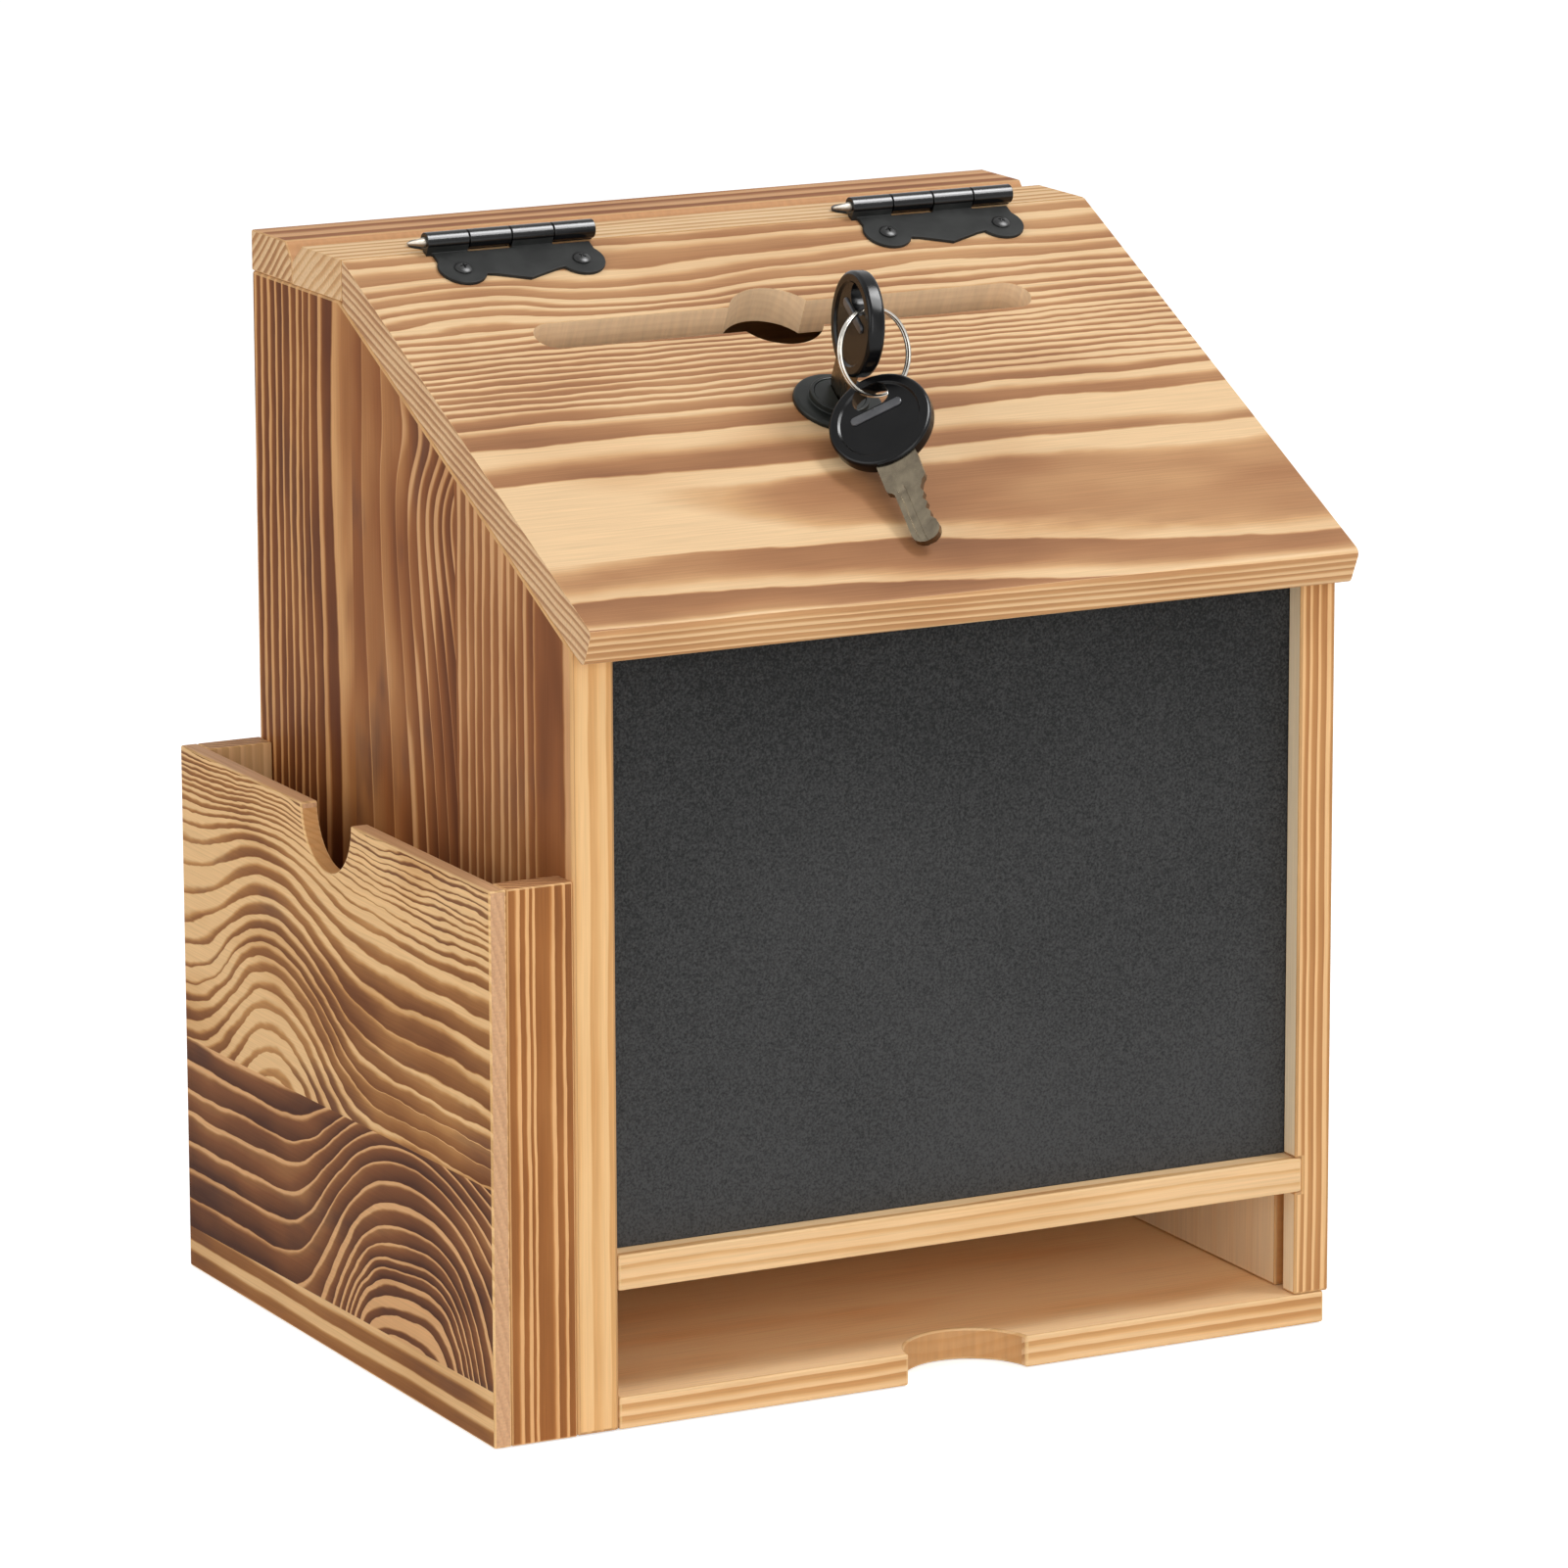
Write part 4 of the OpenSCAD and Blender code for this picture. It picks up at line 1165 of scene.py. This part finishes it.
@dataclass
class Hinges:
    """Two butterfly hinges: stamped leaves rolled round a pin, and their eight screws."""

    middles: tuple[float, float] = (-46.2, 67.2)
    axis: tuple[float, float] = (39.09, 258.0)
    axis_lift: float = 2.6
    leaf: float = 0.9
    knuckle: float = 2.4
    screw_span: float = 31.0
    screw_down: float = 9.4
    # A recess's angle in degrees, and what its side and its leaf add to it
    recess_turns: Point = (40.0, 25.0, 15.0)

    def build(self) -> None:
        """Builds the leaves, pins and screws."""
        for end in ("left", "right"):
            self.make_leaf(f"{end}_hinge_fixed_leaf", "box")
            self.make_leaf(f"{end}_hinge_lid_leaf", "lid")
            pin = f"{end}_hinge_pin"
            Bench.finish_solid(pin, pin + "_pointed", "box", "pin_steel", PIN_STEEL, width=0.2)
        self.screws()

    def make_leaf(self, node: str, body: str) -> None:
        """Finishes one leaf: satin plate, glossier where the knuckles were rolled.

        Args:
            node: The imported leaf.
            body: The body that it rides on.
        """
        leaf = Bench.finish_solid(node, node + "_stamped", body, "black_hardware", BLACK_ENAMEL,
                                  width=0.18)
        leaf.data.materials.append(BLACK_GLOSS.material())
        for polygon in leaf.data.polygons:
            away = math.dist(polygon.center[1:], [c * MM for c in self.axis])
            polygon.material_index = int(away < self.knuckle * MM)

    def screws(self) -> None:
        """Copies one screw to its eight places."""
        pattern = HingeScrew().model()
        pattern.data.materials.append(BLACK_SCREW.material())
        first, by_side, by_leaf = self.recess_turns
        for end, middle in zip(("left", "right"), self.middles):
            at_axis = Matrix.Translation(Vector((middle, *self.axis)) * MM)
            for body, node, way, tilt in (("box", "fixed_leaf_screws", 1, 0.0),
                                          ("lid", "lid_leaf_screws", -1, LID_SLOPE)):
                for side in (-1, 1):
                    foot = Vector((side * self.screw_span / 2, way * self.screw_down,
                                   self.leaf - self.axis_lift)) * MM
                    turn = math.radians(first + by_side * side + by_leaf * way)
                    place = (at_axis @ Matrix.Rotation(tilt, 4, "X") @ Matrix.Translation(foot)
                             @ Matrix.Rotation(turn, 4, "Z"))
                    name = f"{end}_{body}_screw_{'outer' if side < 0 else 'inner'}"
                    Bench.stand_for(Bench.copy_of(pattern, name, place), node, body,
                                    "black_hardware")
        bpy.data.objects.remove(pattern)


@dataclass
class SplitRing:
    """Two turns of round spring wire lying side by side, crossing over in one short step."""

    centre: Point = (8.707, -42.174, 237.698)
    normal: Point = (-0.1957, 0.9645, -0.1775)
    mean: float = 20.4
    wire: float = 0.8
    pitch: float = 1.02
    step_at: float = 338.0
    step_over: float = 20.0
    end_at: float = 692.0
    turned: float = 102.0
    degrees_apart: float = 4.0

    def build(self) -> None:
        """Winds the ring and hangs it in the key's eye."""
        path = bpy.data.curves.new("split_ring_path", "CURVE")
        path.dimensions = "3D"
        path.bevel_depth, path.bevel_resolution, path.use_fill_caps = self.wire / 2 * MM, 3, True
        spans = int(self.end_at / self.degrees_apart)
        line = path.splines.new("POLY")
        line.points.add(spans)
        for number, point in enumerate(line.points):
            degrees = self.end_at * number / spans
            over = min(max((degrees - self.step_at) / self.step_over, 0.0), 1.0)
            level = (over * over * (3 - 2 * over) - 0.5) * self.wire * self.pitch
            angle = math.radians(degrees + self.turned)
            spot = (self.mean / 2 * math.cos(angle), self.mean / 2 * math.sin(angle), level)
            point.co = (*[c * MM for c in spot], 1.0)
        coil = bpy.data.objects.new("split_ring_coil", path)
        bpy.context.scene.collection.objects.link(coil)
        Bench.only(coil)
        bpy.ops.object.convert(target="MESH")
        coil = bpy.context.object
        with Bench.editing(coil):
            bpy.ops.mesh.select_all(action="SELECT")
            bpy.ops.mesh.remove_doubles(threshold=MERGE * MM)
            Bench.turn_outwards()
        way = Vector(self.normal).to_track_quat("Z", "Y").to_matrix().to_4x4()
        coil.data.transform(Matrix.Translation(Vector(self.centre) * MM) @ way)
        Bench.shade(Bench.dress(coil, SPRING_WIRE.material()), 60.0)
        Bench.stand_for(coil, "split_ring", "key_ring", "ring_steel")


@dataclass(frozen=True)
class Seat:
    """Where a key stands: its shoulder's foot, the way through its blade and the way up it."""

    foot: Point
    thick_way: Point
    up_way: Point

    @property
    def place(self) -> Matrix:
        """The matrix from the key's own frame to the part's."""
        thick, up = Vector(self.thick_way).normalized(), Vector(self.up_way).normalized()
        turn = Matrix((thick, up.cross(thick), up)).transposed().to_4x4()
        return Matrix.Translation(Vector(self.foot) * MM) @ turn


@dataclass
class KeyBlade:
    """A stamped blade with a milled groove on both faces and soft worn cuts."""

    thick: float = 2.0
    groove: tuple[float, float] = (-0.62, -0.18)
    groove_lip: float = 0.03
    groove_depth: float = 0.4
    edge: float = 0.16
    # Slack in millimetres when faces and points are told apart by their place
    face_slack: float = 0.01
    groove_slack: float = 0.02
    # Height over the shoulder's foot, half widths on the plain and the cut side, and how much
    # of the groove's depth is there
    stations: tuple[tuple[float, float, float, float], ...] = (
        (11.6, 5.0, 5.0, 0.1), (1.4, 5.0, 4.9, 0.1), (0.5, 4.8, 4.5, 0.1), (-0.2, 3.9, 3.7, 1.0),
        (-1.0, 3.5, 3.3, 1.0), (-2.2, 3.5, 2.6, 1.0), (-3.5, 3.5, 3.1, 1.0), (-5.0, 3.5, 2.2, 1.0),
        (-6.5, 3.5, 2.9, 1.0), (-7.9, 3.5, 2.0, 1.0), (-9.3, 3.5, 2.8, 1.0), (-10.6, 3.5, 2.3, 1.0),
        (-12.0, 3.5, 3.2, 1.0), (-13.6, 3.5, 3.4, 1.0), (-14.9, 3.2, 3.1, 1.0),
        (-15.9, 2.3, 2.4, 0.9), (-16.4, 1.4, 1.5, 0.6), (-16.6, 0.8, 0.9, 0.3))

    def model(self) -> Piece:
        """Draws the blade out from its root, station by station.

        Returns:
            The pattern blade in the key's own frame.
        """
        blade = Bench.start(bpy.ops.mesh.primitive_circle_add, vertices=12, radius=MM,
                            fill_type="NGON")
        near, far = self.groove
        shares = (-1.0, near - self.groove_lip, near, far, far + self.groove_lip, 1.0)
        height, left, right, depth = self.stations[0]
        section = [(1, s) for s in shares] + [(-1, s) for s in reversed(shares)]
        for vertex, (face, share) in zip(blade.data.vertices, section):
            sunk = depth * self.groove_depth if share in (near, far) else 0.0
            spot = (face * (self.thick / 2 - sunk), share * (left if share < 0 else right), height)
            vertex.co = Vector(spot) * MM
        with Bench.editing(blade):
            for last, station in zip(self.stations, self.stations[1:]):
                self.draw_out(blade, last, station)
            Bench.turn_outwards()
        Bench.ease(blade, self.edge, angle=40.0)
        return blade

    def draw_out(self, blade: Piece, last: tuple[float, ...], station: tuple[float, ...]) -> None:
        """Extrudes the blade's end by one station and shapes it there.

        Args:
            blade: The blade in edit mode.
            last: The station that its end is at.
            station: The next station.
        """
        height, left, right, depth = station
        foot = (last[0] + self.face_slack) * MM
        Bench.pick_faces(blade, lambda face: face.calc_center_median().z < foot
                         and abs(face.normal.z) > PICK_FACING)
        bpy.ops.mesh.extrude_region_move(
            TRANSFORM_OT_translate={"value": (0, 0, (height - last[0]) * MM)})
        mesh = bmesh.from_edit_mesh(blade.data)
        for vertex in (v for v in mesh.verts if v.select):
            face = math.copysign(1.0, vertex.co.x)
            inner = abs(vertex.co.x) < (self.thick / 2 - self.groove_slack) * MM
            sunk = depth * self.groove_depth if inner else 0.0
            vertex.co.y *= left / last[1] if vertex.co.y < 0 else right / last[2]
            vertex.co.x = face * (self.thick / 2 - sunk) * MM
        bmesh.update_edit_mesh(blade.data)


@dataclass
class KeyBar:
    """The plain raised bar across a key head's face, with round ends and a soft top."""

    length: float = 13.0
    width: float = 2.2
    foot: float = 1.5
    top: float = 2.08
    height: float = 22.5
    end_share: float = 0.48
    soft: float = 0.3

    def model(self) -> Piece:
        """Models the bar on the face that looks along the key's x.

        Returns:
            The pattern bar in the key's own frame.
        """
        sizes = (self.top - self.foot, self.length, self.width)
        bar = Bench.start(bpy.ops.mesh.primitive_cube_add, size=1.0,
                          location=((self.foot + self.top) / 2 * MM, 0, self.height * MM),
                          scale=[s * MM for s in sizes])
        with Bench.editing(bar):
            mesh = bmesh.from_edit_mesh(bar.data)
            bpy.context.tool_settings.mesh_select_mode = (False, True, False)
            for edge in mesh.edges:
                way = edge.verts[0].co - edge.verts[1].co
                edge.select_set(abs(way.x) > (self.top - self.foot) / 2 * MM)
            bmesh.update_edit_mesh(bar.data)
            bpy.ops.mesh.bevel(offset=self.width * self.end_share * MM, segments=6, affect="EDGES")
            Bench.pick_faces(bar, lambda face: face.normal.x > PICK_FACING)
            bpy.ops.mesh.bevel(offset=self.soft * MM, segments=3, affect="EDGES")
        Bench.shade(bar, 50.0)
        return bar


@dataclass
class Keys:
    """The key in the lock and the spare: milled blades pressed into moulded heads."""

    head_ease: float = 0.35
    seats: tuple[tuple[str, Seat], ...] = (
        ("key", Seat((7.5, -27.477, 225.626), (0.99255, -0.10916, -0.05419),
                     (0.0, -0.44464, 0.89571))),
        ("spare_key", Seat((4.563, -66.747, 210.232), (-0.61198, -0.45867, 0.64428),
                           (0.06822, 0.78099, 0.6208))))

    def build(self) -> None:
        """Builds both keys from one blade and one bar."""
        blade_pattern, bar_pattern = KeyBlade().model(), KeyBar().model()
        Bench.dress(blade_pattern, NICKEL.material())
        # The bar's greyer plastic is a painted reflection on its top
        Bench.dress(bar_pattern, PAINTED_SHEEN_ABS.material())
        for name, seat in self.seats:
            Bench.finish_solid(f"{name}_head", f"{name}_head_moulded", name, "key_plastic",
                               BLACK_ABS, width=self.head_ease, segments=3, angle=40.0)
            blade = Bench.copy_of(blade_pattern, f"{name}_blade_milled", seat.place)
            Bench.stand_for(blade, f"{name}_blade", name, "key_steel")
            for side, turn in (("near", 0.0), ("far", math.pi)):
                bar = Bench.copy_of(bar_pattern, f"{name}_bar_{side}",
                                    seat.place @ Matrix.Rotation(turn, 4, "Z"))
                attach(bar, name)
        bpy.data.objects.remove(blade_pattern)
        bpy.data.objects.remove(bar_pattern)


@dataclass
class CamLock:
    """The lock under black lacquer, its nut, plug, cam and cam screw."""

    def build(self) -> None:
        """Finishes the five pieces, each with its own width of rounding."""
        for node, body, slot, finish, width in (
            ("lock_housing", "lid", "lock_body", BLACK_DIECAST, 0.3),
            ("lock_plug", "lock_cylinder", "lock_body", BLACK_DIECAST, 0.2),
            ("lock_nut", "lid", "lock_fittings", ZINC, 0.35),
            ("cam_arm", "lock_cylinder", "lock_fittings", ZINC, 0.3),
            ("cam_screw", "lock_cylinder", "lock_fittings", ZINC, 0.3),
        ):
            Bench.finish_solid(node, node + "_finished", body, slot, finish, width=width)


@dataclass
class Studio:
    """Plain pale floor, soft lights and the camera at the photograph's angle.

    The camera looks at a target in millimetres from a distance in millimetres, and the
    focal share is its focal length over the width of its picture.
    """

    yaw: float = math.radians(27.37569501)
    pitch: float = math.radians(12.73635949)
    roll: float = math.radians(-0.18999102)
    target: Point = (-4.629, -21.7, 132.317)
    distance: float = 2017.719
    focal_share: float = 8720.564 / 1601
    sensor: float = 36.0
    floor_size: float = 24.0
    floor_below: float = 0.0003
    floor_glow: float = 0.62
    room_light: float = 0.43

    def build(self) -> None:
        """Builds floor, lights, world and camera."""
        self.floor()
        self.world()
        self.lamp("key_light", (0.72, -0.50, 1.55), (0.0, 0.0, 0.2), 0.45, 8.6)
        self.lamp("front_fill", (-0.3, -1.9, 0.5), (0.0, 0.0, 0.13), 1.3, 15.0)
        self.lamp("left_fill", (-1.7, -0.2, 0.9), (0.0, 0.0, 0.13), 1.2, 9.5)
        self.lamp("gloss_softbox", (0.852, -0.804, 1.745), (0.0, 0.0, 0.25), 1.3, 80.0,
                  gloss_only=True)
        self.camera()

    def floor(self) -> None:
        """Adds a large floor that stays near white and keeps the shadow."""
        floor = Bench.start(bpy.ops.mesh.primitive_plane_add, size=self.floor_size,
                            location=(0, 0, -self.floor_below))
        floor.name = "studio_floor"
        material, add = new_material("matt_white_backdrop_paper")
        paper = add("ShaderNodeBsdfDiffuse", [hex_colour("#f2f2f2")])
        ray = add("ShaderNodeLightPath").outputs
        seen = add(MATHS, [ray["Is Camera Ray"], ray["Is Glossy Ray"]], operation="MAXIMUM")
        lift = add(MATHS, [seen, self.floor_glow], operation="MULTIPLY")
        glow = add("ShaderNodeEmission", {"Strength": lift})
        both = add("ShaderNodeAddShader", [paper, glow])
        add("ShaderNodeOutputMaterial", [both])
        Bench.dress(floor, material)

    def world(self) -> None:
        """Lights the room evenly and shows it white."""
        world = bpy.data.worlds.new("plain_studio")
        bpy.context.scene.world = world
        world.use_nodes = True
        world.node_tree.nodes.clear()
        add = partial(add_node, world.node_tree)
        ray = add("ShaderNodeLightPath").outputs
        seen = ray["Is Camera Ray"]
        for kind in ("Is Transmission Ray", "Is Glossy Ray"):
            seen = add(MATHS, [seen, ray[kind]], operation="MAXIMUM")
        level = add(SPREAD, [seen, 0.0, 1.0, self.room_light, 1.0])
        sky = add("ShaderNodeBackground", [hex_colour("#ffffff"), level])
        add("ShaderNodeOutputWorld", [sky])

    def lamp(self, name: str, place: Point, aim: Point, size: float, power: float,
             gloss_only: bool = False) -> None:
        """Adds one square soft light.

        Args:
            name: The light's name.
            place: Where it stands, in metres.
            aim: What it points at.
            size: Its side in metres.
            power: Its power in watts.
            gloss_only: Whether it only shows as a highlight in glossy pieces.
        """
        lamp = bpy.data.lights.new(name, "AREA")
        lamp.size, lamp.energy = size, power
        stand = bpy.data.objects.new(name, lamp)
        bpy.context.scene.collection.objects.link(stand)
        stand.location = place
        stand.rotation_euler = (Vector(aim) - Vector(place)).to_track_quat("-Z", "Y").to_euler()
        stand.visible_camera = stand.visible_diffuse = not gloss_only

    def camera(self) -> None:
        """Adds the camera."""
        flat = math.cos(self.pitch)
        forward = Vector((math.sin(self.yaw) * flat, math.cos(self.yaw) * flat,
                          -math.sin(self.pitch)))
        level = Vector((math.cos(self.yaw), -math.sin(self.yaw), 0.0))
        rise = level.cross(forward)
        right = level * math.cos(self.roll) + rise * math.sin(self.roll)
        up = rise * math.cos(self.roll) - level * math.sin(self.roll)
        lens = bpy.data.cameras.new("photo_camera")
        lens.sensor_fit, lens.sensor_width = "HORIZONTAL", self.sensor
        lens.lens = self.sensor * self.focal_share
        lens.clip_start, lens.clip_end = 0.05, 60.0
        camera = bpy.data.objects.new("photo_camera", lens)
        bpy.context.scene.collection.objects.link(camera)
        turn = Matrix((right, up, -forward)).transposed().to_4x4()
        spot = (Vector(self.target) - forward * self.distance) * MM
        camera.matrix_world = Matrix.Translation(spot) @ turn
        bpy.context.scene.camera = camera
        bpy.context.scene.view_settings.view_transform = "Standard"


def main() -> None:
    """Builds the box piece by piece."""
    logging.basicConfig(level=logging.INFO, format="%(message)s")
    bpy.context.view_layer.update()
    box = Box()
    for part in (Carcass(box), CardPocket(box), Lid(box), Hinges(), CamLock(), Keys(),
                 SplitRing(), Studio()):
        part.build()
        log.info("built %s", type(part).__name__)


if __name__ == "__main__":
    main()
